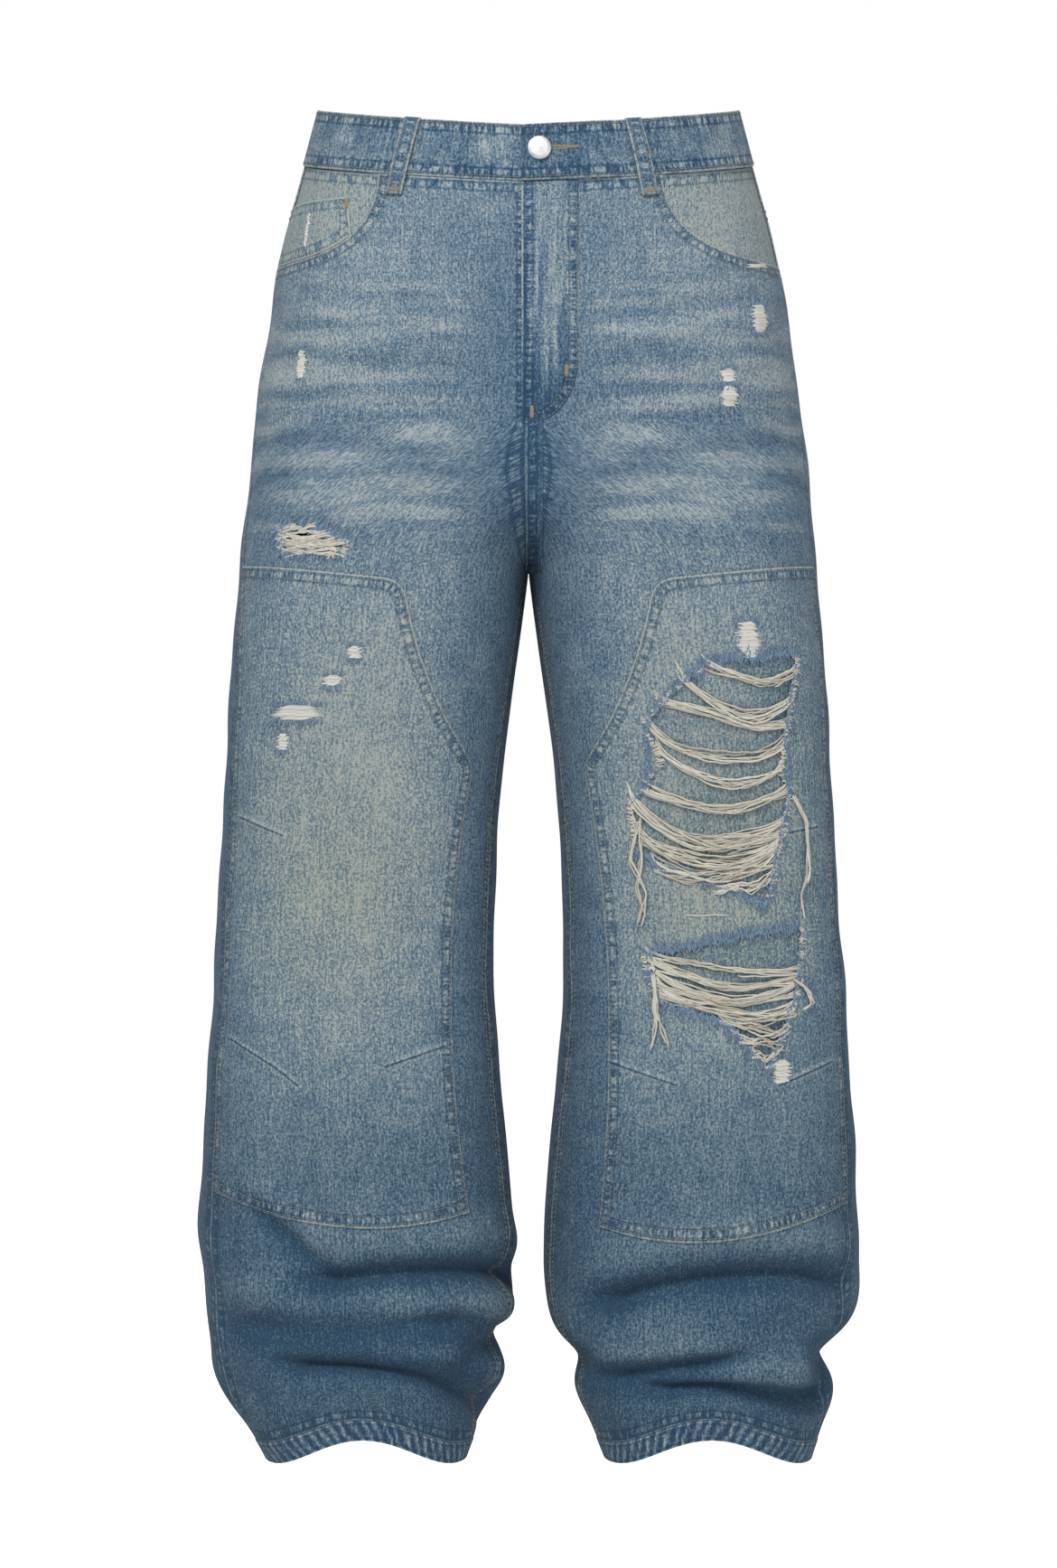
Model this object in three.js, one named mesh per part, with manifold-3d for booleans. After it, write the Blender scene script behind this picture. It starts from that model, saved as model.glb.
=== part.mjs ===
// Baggy ripped double-knee jeans, filled out as if worn, with no wearer in them.
// Millimetres, +Z up. The front faces -Y and the wearer's left leg is on +X.
// The origin is the middle of the waistband ring, half way up the band.
// Heights are given as a "drop": how far below the top edge of the band a level lies.
import * as THREE from "three";
import { mergeVertices } from "three/addons/utils/BufferGeometryUtils.js";
import Module from "manifold-3d";

const wasm = await Module();
wasm.setup();

// ---- driving dimensions ----
const BAND = 41; // height of the waistband
const TOP = BAND / 2; // the band's top edge above the origin, at the sides
const CLOTH = 1.2; // one layer of denim
const BAND_CLOTH = 2.4; // the folded waistband
const HEM_CLOTH = 2.4; // the turned-up hem
const GAP = 0.3; // between neighbouring pieces
const CROTCH = 343; // drop of the crotch point
const CROTCH_ZONE = 110; // height over which the hips divide into two legs
const HEM = 991; // drop of the hem at the sides
const HEM_HEIGHT = 15;
const PANEL_END = HEM - HEM_HEIGHT - GAP;
const FRONT_DIP = 25.6; // the band is this much lower at the centre front
const DIP_END = 240; // drop below which the front no longer dips
const HEM_LIFT = 22; // the hem rises this much over the instep
const HEEL_LIFT = 5;
const LIFT_START = 890;

const FRONT_COLUMNS = 9;
const BACK_COLUMNS = 10;
const SEAT_ROWS = 4;
const CROTCH_ROWS = 4;
const THIGH_ROWS = 6;
const STACK_ROWS = 15;
const FORK = 25; // height below the crotch over which the inner seam comes forward
const STACK_START = 795; // drop where the folds over the ankle begin

// ---- small helpers ----
const rad = THREE.MathUtils.degToRad;
const lerp = THREE.MathUtils.lerp;
const smoothstep = THREE.MathUtils.smoothstep;
const hump = (t) => Math.exp(-t * t);

// A smooth curve through [position, value] stations, with no overshoot between them.
function through(...stations) {
  const n = stations.length;
  const slope = (i) =>
    (stations[i + 1][1] - stations[i][1]) / (stations[i + 1][0] - stations[i][0]);
  const tangents = stations.map((_, i) => {
    if (i === 0) return slope(0);
    if (i === n - 1) return slope(n - 2);
    const [before, after] = [slope(i - 1), slope(i)];
    return before * after <= 0 ? 0 : (2 * before * after) / (before + after);
  });
  return (at) => {
    if (at <= stations[0][0]) return stations[0][1];
    if (at >= stations[n - 1][0]) return stations[n - 1][1];
    const i = stations.findIndex((s) => at < s[0]) - 1;
    const width = stations[i + 1][0] - stations[i][0];
    const t = (at - stations[i][0]) / width;
    const rest = 1 - t;
    return (
      rest * rest * (1 + 2 * t) * stations[i][1] +
      t * t * (3 - 2 * t) * stations[i + 1][1] +
      t * rest * width * (rest * tangents[i] - t * tangents[i + 1])
    );
  };
}

// ---- the form of the garment ----
// Half widths and depths of the garment, as a wearer of an 84 cm waist fills it.
const WAIST = 154; // reach of the band's top edge from the middle of the body
const HIP = 188; // reach over the hip bone
const SEAT = 212; // reach at the crotch
const KNEE = 230;
const ANKLE = 241; // where the leg is widest, over the folds
const KNEE_DROP = 600;
const ANKLE_DROP = 820;
const FOLDED_DROP = 915; // the deepest fold over the ankle
const KNEE_SPACE = 25; // half the space between the legs at the knee
const ANKLE_SPACE = 11;

// How far the cloth stands in front of and behind the middle plane at each drop.
const frontDepth = through([0, 111], [180, 127], [CROTCH, 118], [KNEE_DROP, 90], [ANKLE_DROP, 92], [HEM, 78]);
const backDepth = through([0, 111], [210, 152], [CROTCH, 134], [KNEE_DROP, 94], [ANKLE_DROP, 95], [HEM, 84]);
// How square the section is: 0 is an ellipse.
const squareness = through([0, 0.02], [200, 0.05], [HEM, 0.02]);
// Where the outer seam and the inner seam lie round a leg, in degrees from its outer side.
const outseam = through([0, 3], [240, 10], [400, 24], [ANKLE_DROP, 26], [HEM, 18]);
const inseam = through([CROTCH, 180], [CROTCH + FORK, 163], [KNEE_DROP, 158], [HEM, 165]);

// A crease runs round a leg between two angles. It starts, bends and ends at three drops.
// ridge is how high the roll above it stands, as a share of its depth.
function crease(depth, width, [from, to], [start, middle, end], ridge = 0.4) {
  const drop = (degrees) => {
    const t = (degrees - from) / (to - from);
    return start * (1 - t) * (1 - 2 * t) + 4 * middle * t * (1 - t) + end * t * (2 * t - 1);
  };
  return { depth, width, from, to, drop, ridge };
}
const CREASE_END = 26; // degrees over which a crease fades out
// The parts of a crease, as shares of its width: its trough, the roll above and how far cloth sinks.
const TROUGH_WIDTH = 0.95;
const ROLL = { above: 1.8, width: 1.1 };
const SINK = { above: 1.1, depth: 0.35 };

// What differs between the two sides: the hem, the pocket mouth, the loops and the folds.
const makeHalf = (name, side, own) => ({
  name,
  side,
  reach: through(
    [0, WAIST], [BAND, WAIST + 11], [130, HIP], [CROTCH, SEAT], [KNEE_DROP, KNEE], [ANKLE_DROP, ANKLE],
    [FOLDED_DROP, own.stackReach], [HEM, own.hemReach],
  ),
  space: through([CROTCH, 0.3], [KNEE_DROP - 60, KNEE_SPACE - 2], [KNEE_DROP + 30, KNEE_SPACE],
    [ANKLE_DROP + 25, ANKLE_SPACE], [FOLDED_DROP, own.stackSpace], [HEM, own.hemSpace]),
  ...own,
});
const right = makeHalf("right", -1, {
  stackReach: 231,
  hemReach: 193,
  stackSpace: 19,
  hemSpace: 46,
  scoopReach: 78,
  loopTop: 82,
  loopFoot: 93,
  turned: 4, // degrees that the outer seam lies further forward below the hip
  kneeFoot: 805,
  kneeFootInner: 43,
  creases: [
    crease(6, 12, [45, 95], [790, 826, 862]),
    crease(9, 14, [60, 200], [858, 843, 868]),
    crease(7, 15, [25, 165], [890, 889, 893]),
    crease(10, 14, [120, 250], [915, 897, 905]),
    crease(10, 13, [50, 195], [914, 924, 965]),
    crease(7, 14, [195, 350], [880, 870, 880]),
    crease(8, 14, [195, 350], [930, 935, 925]),
  ],
});
const left = makeHalf("left", 1, {
  stackReach: 231,
  hemReach: 208,
  stackSpace: 27,
  hemSpace: 56,
  scoopReach: 90,
  loopTop: 74,
  loopFoot: 84,
  turned: 0,
  kneeFoot: 815,
  kneeFootInner: 51,
  creases: [
    crease(9, 14, [15, 145], [862, 845, 880]),
    crease(17, 22, [-60, 55], [908, 909, 920], 0.1),
    crease(11, 18, [130, 250], [922, 912, 912], 0.1),
    crease(8, 13, [70, 150], [914, 918, 930]),
    crease(10, 12, [10, 130], [938, 941, 937]),
    crease(7, 14, [195, 350], [875, 872, 880]),
    crease(8, 14, [195, 350], [928, 922, 930]),
  ],
});
const halves = [right, left];

// The section of one half at a drop. Above the crotch it is a leg's oval that runs on past the middle.
function sectionOf(half, drop) {
  const reach = half.reach(drop);
  let width, centre;
  if (drop >= CROTCH) {
    const space = half.space(drop);
    width = (reach - space) / 2;
    centre = (reach + space) / 2;
  } else {
    const parted = smoothstep(drop, CROTCH - CROTCH_ZONE, CROTCH);
    width = reach / (1 + parted);
    centre = parted * width;
  }
  const [front, back] = [frontDepth(drop), backDepth(drop)];
  return { width, centre, depth: (front + back) / 2, middle: (back - front) / 2, k: squareness(drop) };
}

const across = (cos, k) => ((1 + 3 * k) * cos - 4 * k * cos ** 3) / (1 - k);
const along = (sin, k) => ((1 + 3 * k) * sin - 4 * k * sin ** 3) / (1 - k);

// The angle, in degrees on the front of the section, where a half is at a distance x from the middle.
function angleAt(half, x, drop) {
  const s = sectionOf(half, drop);
  const target = THREE.MathUtils.clamp((x - s.centre) / s.width, -1, 1);
  let cos = target;
  for (let i = 0; i < 8; i++)
    cos -= (across(cos, s.k) - target) / ((1 + 3 * s.k - 12 * s.k * cos * cos) / (1 - s.k));
  return THREE.MathUtils.radToDeg(Math.acos(THREE.MathUtils.clamp(cos, -1, 1)));
}

// How far creases move the cloth out and down at a place.
function creased(half, degrees, drop) {
  let out = 0;
  let down = 0;
  for (const c of half.creases) {
    for (const turned of [degrees - 360, degrees, degrees + 360]) {
      const end = Math.min(turned - c.from, c.to - turned);
      if (end <= 0) continue;
      const strength = c.depth * smoothstep(end, 0, CREASE_END);
      const above = (c.drop(turned) - drop) / c.width;
      out += strength * (c.ridge * hump((above - ROLL.above) / ROLL.width) - hump(above / TROUGH_WIDTH));
      down += strength * SINK.depth * hump(above - SINK.above);
    }
  }
  return { out, down };
}

// A point of the outer face of one half.
function facePoint(half, degrees, drop) {
  const s = sectionOf(half, drop);
  const [cos, sin] = [Math.cos(rad(degrees)), Math.sin(rad(degrees))];
  const [c, d] = [across(cos, s.k), along(sin, s.k)];
  const normal = new THREE.Vector2(c / s.width, -d / s.depth).normalize();
  const { out, down } = creased(half, degrees, drop);
  const atWaist = 1 - smoothstep(drop, BAND, DIP_END);
  const atHem = smoothstep(drop, LIFT_START, HEM - 10);
  const front = Math.max(0, sin);
  const back = Math.max(0, -sin);
  const dip = sin > 0 ? FRONT_DIP * (0.7 * sin + 0.3 * (1 - Math.abs(cos))) : 0;
  const lift = HEM_LIFT * front ** 5 + HEEL_LIFT * back ** 2;
  return new THREE.Vector3(
    half.side * (s.centre + s.width * c + normal.x * out),
    s.middle - s.depth * d + normal.y * out,
    TOP - drop - dip * atWaist + lift * atHem - down,
  );
}

// The same point moved out along the cloth's normal.
function clothPoint(half, degrees, drop, out) {
  const p = facePoint(half, degrees, drop);
  const round = facePoint(half, degrees + 0.5, drop).sub(facePoint(half, degrees - 0.5, drop));
  const down = facePoint(half, degrees, drop + 0.5).sub(facePoint(half, degrees, drop - 0.5));
  const normal = round.cross(down).multiplyScalar(half.side).normalize();
  return p.addScaledVector(normal, out);
}

// Degrees that a distance round the leg takes up at a place.
function degreesFor(half, millimetres, degrees, drop) {
  const speed = facePoint(half, degrees + 0.5, drop).distanceTo(facePoint(half, degrees - 0.5, drop));
  return millimetres / speed;
}

// ---- making solids ----
// A closed wall from a grid of places: place(i, j, face) with face 0 inside and 1 outside.
// Opposite edges in i are joined when the wall goes all the way round.
function wall(columns, rows, place, joined = false) {
  const positions = [];
  const index = [];
  const stride = joined ? columns : columns + 1;
  const id = (i, j, face) => (face * (rows + 1) + j) * stride + (joined ? i % columns : i);
  for (const face of [0, 1])
    for (let j = 0; j <= rows; j++)
      for (let i = 0; i < stride; i++) positions.push(...place(i, j, face).toArray());
  const quad = (a, b, c, d) => index.push(a, b, c, a, c, d);
  for (let j = 0; j < rows; j++)
    for (let i = 0; i < columns; i++) {
      quad(id(i, j, 1), id(i, j + 1, 1), id(i + 1, j + 1, 1), id(i + 1, j, 1));
      quad(id(i, j, 0), id(i + 1, j, 0), id(i + 1, j + 1, 0), id(i, j + 1, 0));
    }
  for (let i = 0; i < columns; i++) {
    quad(id(i, 0, 0), id(i, 0, 1), id(i + 1, 0, 1), id(i + 1, 0, 0));
    quad(id(i, rows, 0), id(i + 1, rows, 0), id(i + 1, rows, 1), id(i, rows, 1));
  }
  if (!joined)
    for (let j = 0; j < rows; j++) {
      quad(id(0, j, 0), id(0, j + 1, 0), id(0, j + 1, 1), id(0, j, 1));
      quad(id(columns, j, 0), id(columns, j, 1), id(columns, j + 1, 1), id(columns, j + 1, 0));
    }
  const geometry = new THREE.BufferGeometry();
  geometry.setAttribute("position", new THREE.Float32BufferAttribute(positions, 3));
  geometry.setIndex(index);
  return facingOut(geometry);
}

// Turns every face round if the solid is inside out, as a mirrored piece is.
function facingOut(geometry) {
  const p = geometry.attributes.position;
  const corner = (i) => new THREE.Vector3().fromBufferAttribute(p, geometry.index.getX(i));
  let volume = 0;
  for (let i = 0; i < geometry.index.count; i += 3)
    volume += corner(i).dot(corner(i + 1).cross(corner(i + 2)));
  if (volume < 0) geometry.setIndex([...geometry.index.array].reverse());
  return geometry;
}

function toSolid(geometry) {
  const bare = new THREE.BufferGeometry();
  bare.setAttribute("position", geometry.attributes.position.clone());
  bare.setIndex(geometry.index ? geometry.index.clone() : null);
  const merged = mergeVertices(bare, 1e-4);
  return new wasm.Manifold(
    new wasm.Mesh({
      numProp: 3,
      vertProperties: merged.attributes.position.array,
      triVerts: new Uint32Array(merged.index.array),
    }),
  );
}

function toGeometry(solid) {
  const mesh = solid.getMesh();
  const geometry = new THREE.BufferGeometry();
  geometry.setAttribute("position", new THREE.Float32BufferAttribute(mesh.vertProperties, 3));
  geometry.setIndex(new THREE.BufferAttribute(mesh.triVerts, 1));
  return geometry;
}

// A prism through the cloth: an outline in x and z, from one y to another.
const CUT_REACH = 260;
const FRONT_CUT_END = 60; // y past which the front's outer edges never lie
const CURVE_STEPS = 8;
const PAST = 60; // how far a cutting outline runs past the cloth's edge
function prism(shape, fromY, toY) {
  const geometry = new THREE.ExtrudeGeometry(shape, {
    depth: toY - fromY,
    bevelEnabled: false,
    curveSegments: CURVE_STEPS,
  });
  geometry.rotateX(Math.PI / 2);
  geometry.translate(0, toY, 0);
  return toSolid(geometry);
}
const frontPrism = (shape) => prism(shape, -CUT_REACH, FRONT_CUT_END);
const backPrism = (shape) => prism(shape, 0, CUT_REACH);

function outline(points) {
  return new THREE.Shape(points.map(([x, z]) => new THREE.Vector2(x, z)));
}

// ---- materials ----
const finish = (color, roughness, metalness = 0) =>
  new THREE.MeshStandardMaterial({ color, roughness, metalness });
const denim = finish(0x6f8ba6, 0.9);
const fadedDenim = finish(0x8d9da4, 0.92);
const dullMetal = finish(0xc9c9cd, 0.35, 1);

const jeans = new THREE.Group();
function add(name, geometry, material) {
  const mesh = new THREE.Mesh(geometry, material);
  mesh.name = name;
  jeans.add(mesh);
  return mesh;
}

// ---- levels of the leg panels ----
const spread = (from, to, rows) => Array.from({ length: rows }, (_, i) => lerp(from, to, (i + 1) / rows));
const seatEnd = CROTCH - CROTCH_ZONE;
const crotchLevels = Array.from({ length: CROTCH_ROWS }, (_, i) => {
  const up = 1 - (i + 1) / CROTCH_ROWS;
  return CROTCH - CROTCH_ZONE * up * up;
});
const legLevels = [
  ...crotchLevels,
  ...spread(CROTCH, CROTCH + FORK, 1),
  ...spread(CROTCH + FORK, STACK_START, THIGH_ROWS),
  ...spread(STACK_START, PANEL_END, STACK_ROWS),
];

// The angle of a panel's inner edge: the centre seam above the crotch, and the inner seam below.
function innerEdge(half, drop, behind) {
  if (drop < CROTCH) {
    const front = angleAt(half, GAP / 2, drop);
    return behind ? 360 - front : front;
  }
  const seam = inseam(drop);
  const halfGap = degreesFor(half, GAP / 2, seam, drop);
  return behind ? seam + halfGap : seam - halfGap;
}

function outerEdge(half, drop, behind) {
  const seam = outseam(drop) + half.turned * smoothstep(drop, 240, 400) + (behind ? 360 : 0);
  const halfGap = degreesFor(half, GAP / 2, seam, drop);
  return behind ? seam - halfGap : seam + halfGap;
}

// A leg panel as a place finder: share 0 is the outer seam and 1 the inner edge.
function frontPlace(half, share, drop, out) {
  const degrees = lerp(outerEdge(half, drop, false), innerEdge(half, drop, false), share);
  return clothPoint(half, degrees, drop, out);
}
function backPlace(half, share, drop, out) {
  const degrees = lerp(outerEdge(half, drop, true), innerEdge(half, drop, true), share);
  return clothPoint(half, degrees, drop, out);
}

// The angles of both panels' points round a half, from the outer seam through the front to the back.
function ringAngles(half, drop) {
  const front = Array.from({ length: FRONT_COLUMNS + 1 }, (_, i) =>
    lerp(outerEdge(half, drop, false), innerEdge(half, drop, false), i / FRONT_COLUMNS),
  );
  const back = Array.from({ length: BACK_COLUMNS + 1 }, (_, i) =>
    lerp(innerEdge(half, drop, true), outerEdge(half, drop, true), i / BACK_COLUMNS),
  );
  return [...front, ...back];
}

const frontLevels = [BAND + GAP, ...spread(BAND + GAP, seatEnd, SEAT_ROWS), ...legLevels];

// A front layer between two distances from the front panel's outer face.
function frontLayer(half, inner, outer, levels = frontLevels) {
  return wall(FRONT_COLUMNS, levels.length - 1, (i, j, face) =>
    frontPlace(half, i / FRONT_COLUMNS, levels[j], face ? outer : inner),
  );
}

// ---- hip pockets ----
const SCOOP_DEPTH = 64; // of the pocket mouth, below the seam of the band
const SCOOP_MIDDLE = 186; // distance of the mouth's centre from the middle of the body
const SCOOP_TOP = 55; // drop of that centre
const FULLNESS = 0.84; // an oval at 1, squarer below it
const SCOOP_STEPS = 9;
const FACING_LAP = 18; // how far the facing runs on behind the front

// The space over the pocket mouth: an oval quarter that reaches past the side.
function scoopShape(half, grown) {
  const [reach, depth] = [half.scoopReach + grown, SCOOP_DEPTH + grown];
  const [x, z] = [half.side * SCOOP_MIDDLE, TOP - SCOOP_TOP];
  const shape = new THREE.Shape();
  shape.moveTo(x - half.side * reach, z);
  for (let i = 1; i <= SCOOP_STEPS; i++) {
    const turn = ((Math.PI / 2) * i) / SCOOP_STEPS;
    const inwards = reach * Math.cos(turn) ** FULLNESS;
    shape.lineTo(x - half.side * inwards, z - depth * Math.sin(turn) ** FULLNESS);
  }
  const outer = half.side * (SCOOP_MIDDLE + PAST);
  shape.lineTo(outer, z - depth);
  shape.lineTo(outer, TOP + PAST);
  shape.lineTo(x - half.side * reach, TOP + PAST);
  shape.closePath();
  return shape;
}

// ---- knee panels ----
// Each reaches in front of the shin from the outer seam, and is widest at its wing above the knee.
const KNEE_PANEL = {
  outer: 250, // past the outer seam
  middle: 140,
  top: 334, // drop of its top edge at the outer seam
  corner: 90, // x of its rounded top corner
  cornerDrop: 351,
  wing: 40, // x and drop of its innermost point
  wingDrop: 485,
  bendDrop: 425, // where the slope from the corner to the wing bends
  round: 12, // length over which its corners are rounded
  waist: 56, // how far its inner edge stands back from the middle below the wing
  waistDrop: 640,
  footSag: 14, // how much lower its foot is in the middle
  footRise: 24, // and how much higher at the outer seam
};
function kneeShape(half) {
  const k = KNEE_PANEL;
  const at = (x, drop) => [half.side * x, TOP - drop];
  const shape = new THREE.Shape();
  shape.moveTo(...at(k.outer, k.top));
  shape.lineTo(...at(k.corner + k.round, k.cornerDrop - 2));
  shape.quadraticCurveTo(...at(k.corner, k.cornerDrop), ...at(k.corner - 3, k.cornerDrop + k.round));
  shape.quadraticCurveTo(...at(k.corner - 14, k.bendDrop), ...at(k.wing + 3, k.wingDrop - 8));
  shape.quadraticCurveTo(...at(k.wing, k.wingDrop), ...at(k.wing + 3, k.wingDrop + k.round));
  const waist = at(2 * k.waist - k.wing - 3, k.waistDrop);
  shape.quadraticCurveTo(...waist, ...at(half.kneeFootInner, half.kneeFoot));
  const footLow = at(k.middle, half.kneeFoot + 2 * k.footSag);
  shape.quadraticCurveTo(...footLow, ...at(k.outer, half.kneeFoot - k.footRise));
  shape.closePath();
  return shape;
}

// Holes are [x, drop] corners on the wearer's own side: two in the left knee panel, and a slit
// in the right thigh above its panel.
const kneeRips = [
  [
    [130, 410], [190, 405], [178, 490], [186, 500], [170, 580], [80, 545], [75, 510], [98, 480], [84, 455],
    [104, 430],
  ],
  [[85, 620], [195, 600], [192, 645], [172, 698], [145, 668], [95, 650]],
];
const thighRip = [[180, 312], [152, 311], [129, 322], [130, 332], [178, 331]];
const ripShape = (half, corners) => outline(corners.map(([x, drop]) => [half.side * x, TOP - drop]));

const COIN_TOP = 74; // drop of the coin pocket's top edge
const COIN_SIDE = 130; // distance of its inner edge from the middle of the body
const COIN_RISE = 4; // how much higher its top edge runs past the outer seam
const COIN_HEIGHT = 60;
const COIN_TAPER = 6; // how much further out its inner edge ends
const pocketLevels = frontLevels.slice(0, SEAT_ROWS + 1);
const KNEE_ZONE = [290, 870]; // drops between which the knee panels are cut
const kneeLevels = frontLevels.filter((level) => level > KNEE_ZONE[0] && level < KNEE_ZONE[1]);

for (const half of halves) {
  const mouth = frontPrism(scoopShape(half, 0));
  let front = toSolid(frontLayer(half, -CLOTH, 0)).subtract(mouth);
  if (half === right) front = front.subtract(frontPrism(ripShape(half, thighRip)));
  add(`front_${half.name}`, toGeometry(front), denim);

  const behind = toSolid(frontLayer(half, -2 * CLOTH - GAP, -CLOTH - GAP, pocketLevels));
  const facing = behind.intersect(frontPrism(scoopShape(half, FACING_LAP)));
  add(`pocket_facing_${half.name}`, toGeometry(facing), fadedDenim);

  let knee = toSolid(frontLayer(half, GAP, GAP + CLOTH, kneeLevels));
  knee = knee.intersect(frontPrism(kneeShape(half)));
  if (half === left) for (const rip of kneeRips) knee = knee.subtract(frontPrism(ripShape(half, rip)));
  add(`knee_panel_${half.name}`, toGeometry(knee), fadedDenim);
}

// The coin pocket lies on the right facing, level with the front, inside the pocket mouth.
{
  const layer = toSolid(frontLayer(right, -CLOTH, 0, pocketLevels));
  const [top, outer] = [TOP - COIN_TOP, -SCOOP_MIDDLE - PAST];
  const shape = outline([
    [outer, top + COIN_RISE], [-COIN_SIDE, top], [-COIN_SIDE - COIN_TAPER, top - COIN_HEIGHT],
    [outer, top - COIN_HEIGHT],
  ]);
  const coin = layer.intersect(frontPrism(shape)).intersect(frontPrism(scoopShape(right, -GAP)));
  add("coin_pocket", toGeometry(coin), fadedDenim);
}

// ---- back, yoke and back pockets ----
const YOKE_SIDE = 81; // drop of the yoke seam at the side, and at the centre back
const YOKE_MIDDLE = 109;
const yokeSeam = (share) => lerp(YOKE_SIDE, YOKE_MIDDLE, share);
const backLevel = (share, row) =>
  row <= SEAT_ROWS ? lerp(yokeSeam(share) + GAP, seatEnd, row / SEAT_ROWS) : legLevels[row - SEAT_ROWS - 1];
const backLayer = (half, inner, outer, rows = SEAT_ROWS + legLevels.length) =>
  wall(BACK_COLUMNS, rows, (i, j, face) => {
    const share = i / BACK_COLUMNS;
    return backPlace(half, share, backLevel(share, j), face ? outer : inner);
  });

const POCKET = { middle: 90, top: 124, topWidth: 150, cornerWidth: 138, side: 142, point: 168 };
function backPocketShape(half) {
  const { middle, top, topWidth, cornerWidth, side, point } = POCKET;
  return outline(
    [
      [middle - topWidth / 2, -top], [middle + topWidth / 2, -top], [middle + cornerWidth / 2, -top - side],
      [middle, -top - point], [middle - cornerWidth / 2, -top - side],
    ].map(([x, z]) => [half.side * x, TOP + z]),
  );
}

const YOKE_ROWS = 2;
for (const half of halves) {
  add(`back_${half.name}`, backLayer(half, -CLOTH, 0), denim);
  const yoke = wall(BACK_COLUMNS, YOKE_ROWS, (i, j, face) => {
    const share = i / BACK_COLUMNS;
    return backPlace(half, share, lerp(BAND + GAP, yokeSeam(share), j / YOKE_ROWS), face ? 0 : -CLOTH);
  });
  add(`yoke_${half.name}`, yoke, denim);
  const layer = toSolid(backLayer(half, GAP, GAP + CLOTH, SEAT_ROWS + CROTCH_ROWS));
  add(`back_pocket_${half.name}`, toGeometry(layer.intersect(backPrism(backPocketShape(half)))), denim);
}

// ---- waistband: one strip whose left end laps over its right end at the centre front ----
const LAP_EDGE = -5; // x of the end on top
const LAP_UNDER = 34; // x of the end beneath
const LAP_RISE = BAND_CLOTH + GAP;
const LAP_EASE = [66, 75]; // degrees over which the top end comes down to the ring

// A turn counts degrees from the outer side of the left half: 90 is the front, 180 the right side
// and 270 the back.
function bandPlace(turn, drop, out) {
  const degrees = ((turn % 360) + 360) % 360;
  const onLeft = degrees <= 90 || degrees >= 270;
  if (onLeft) return clothPoint(left, degrees, drop, out);
  return clothPoint(right, (540 - degrees) % 360, drop, out);
}
const bandStart = 180 - angleAt(right, -LAP_EDGE, BAND / 2);
const bandEnd = angleAt(left, LAP_UNDER, BAND / 2) - 360;
function lapRise(turn) {
  return turn > LAP_EASE[0] - 1e-6 ? LAP_RISE * smoothstep(turn, ...LAP_EASE) : 0;
}
const panelTurns = [
  ...ringAngles(left, BAND + GAP).map((degrees) => (degrees > 180 ? degrees - 360 : degrees)),
  ...ringAngles(right, BAND + GAP).map((degrees) => (degrees > 180 ? 180 - degrees : -180 - degrees)),
];
const bandTurns = [bandStart, ...LAP_EASE, ...panelTurns, bandEnd]
  .filter((turn) => turn <= bandStart && turn >= bandEnd)
  .sort((a, b) => b - a)
  .filter((turn, i, all) => i === 0 || all[i - 1] - turn > 1e-3);
const waistband = wall(bandTurns.length - 1, 2, (i, j, face) => {
  const turn = bandTurns[i];
  const out = (face ? BAND_CLOTH / 2 : -BAND_CLOTH / 2) + lapRise(turn);
  return bandPlace(turn, (BAND * j) / 2, out);
});
add("waistband", waistband, denim);

// ---- fly: the lap of the left front over the zip, with its curved foot ----
const FLY = { edge: LAP_EDGE, width: 36, straight: 192, foot: 246 };
{
  const levels = [BAND + GAP, ...spread(BAND + GAP, seatEnd, SEAT_ROWS), FLY.foot + 4];
  const columns = 6;
  const layer = wall(columns, levels.length - 1, (i, j, face) => {
    const x = lerp(FLY.edge - 3, FLY.width + 3, i / columns);
    const half = x < 0 ? right : left;
    return clothPoint(half, angleAt(half, Math.abs(x), levels[j]), levels[j], GAP + (face ? CLOTH : 0));
  });
  const shape = new THREE.Shape();
  shape.moveTo(FLY.edge, TOP);
  shape.lineTo(FLY.edge, TOP - FLY.foot);
  shape.lineTo(FLY.edge + 9, TOP - FLY.foot);
  shape.quadraticCurveTo(FLY.width - 2, TOP - FLY.foot + 8, FLY.width, TOP - FLY.straight);
  shape.lineTo(FLY.width, TOP);
  shape.closePath();
  add("fly", toGeometry(toSolid(layer).intersect(frontPrism(shape))), denim);
}

// ---- hems, with a point at each of the panels' own points ----
for (const half of halves) {
  const angles = ringAngles(half, PANEL_END);
  const hem = wall(
    angles.length,
    1,
    (i, j, face) => {
      const out = face ? CLOTH / 2 : CLOTH / 2 - HEM_CLOTH;
      return clothPoint(half, angles[i % angles.length], j ? HEM : HEM - HEM_HEIGHT, out);
    },
    true,
  );
  add(`hem_${half.name}`, hem, fadedDenim);
}

// ---- belt loops: tacked at both ends, and standing off the band between ----
const LOOP = {
  width: 12, cloth: 1.8, slack: 2.2, above: 0.5, foot: 15, steps: 7, tackedAt: 0.86, fullness: 0.6,
};
const bandFace = BAND_CLOTH / 2;

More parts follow.
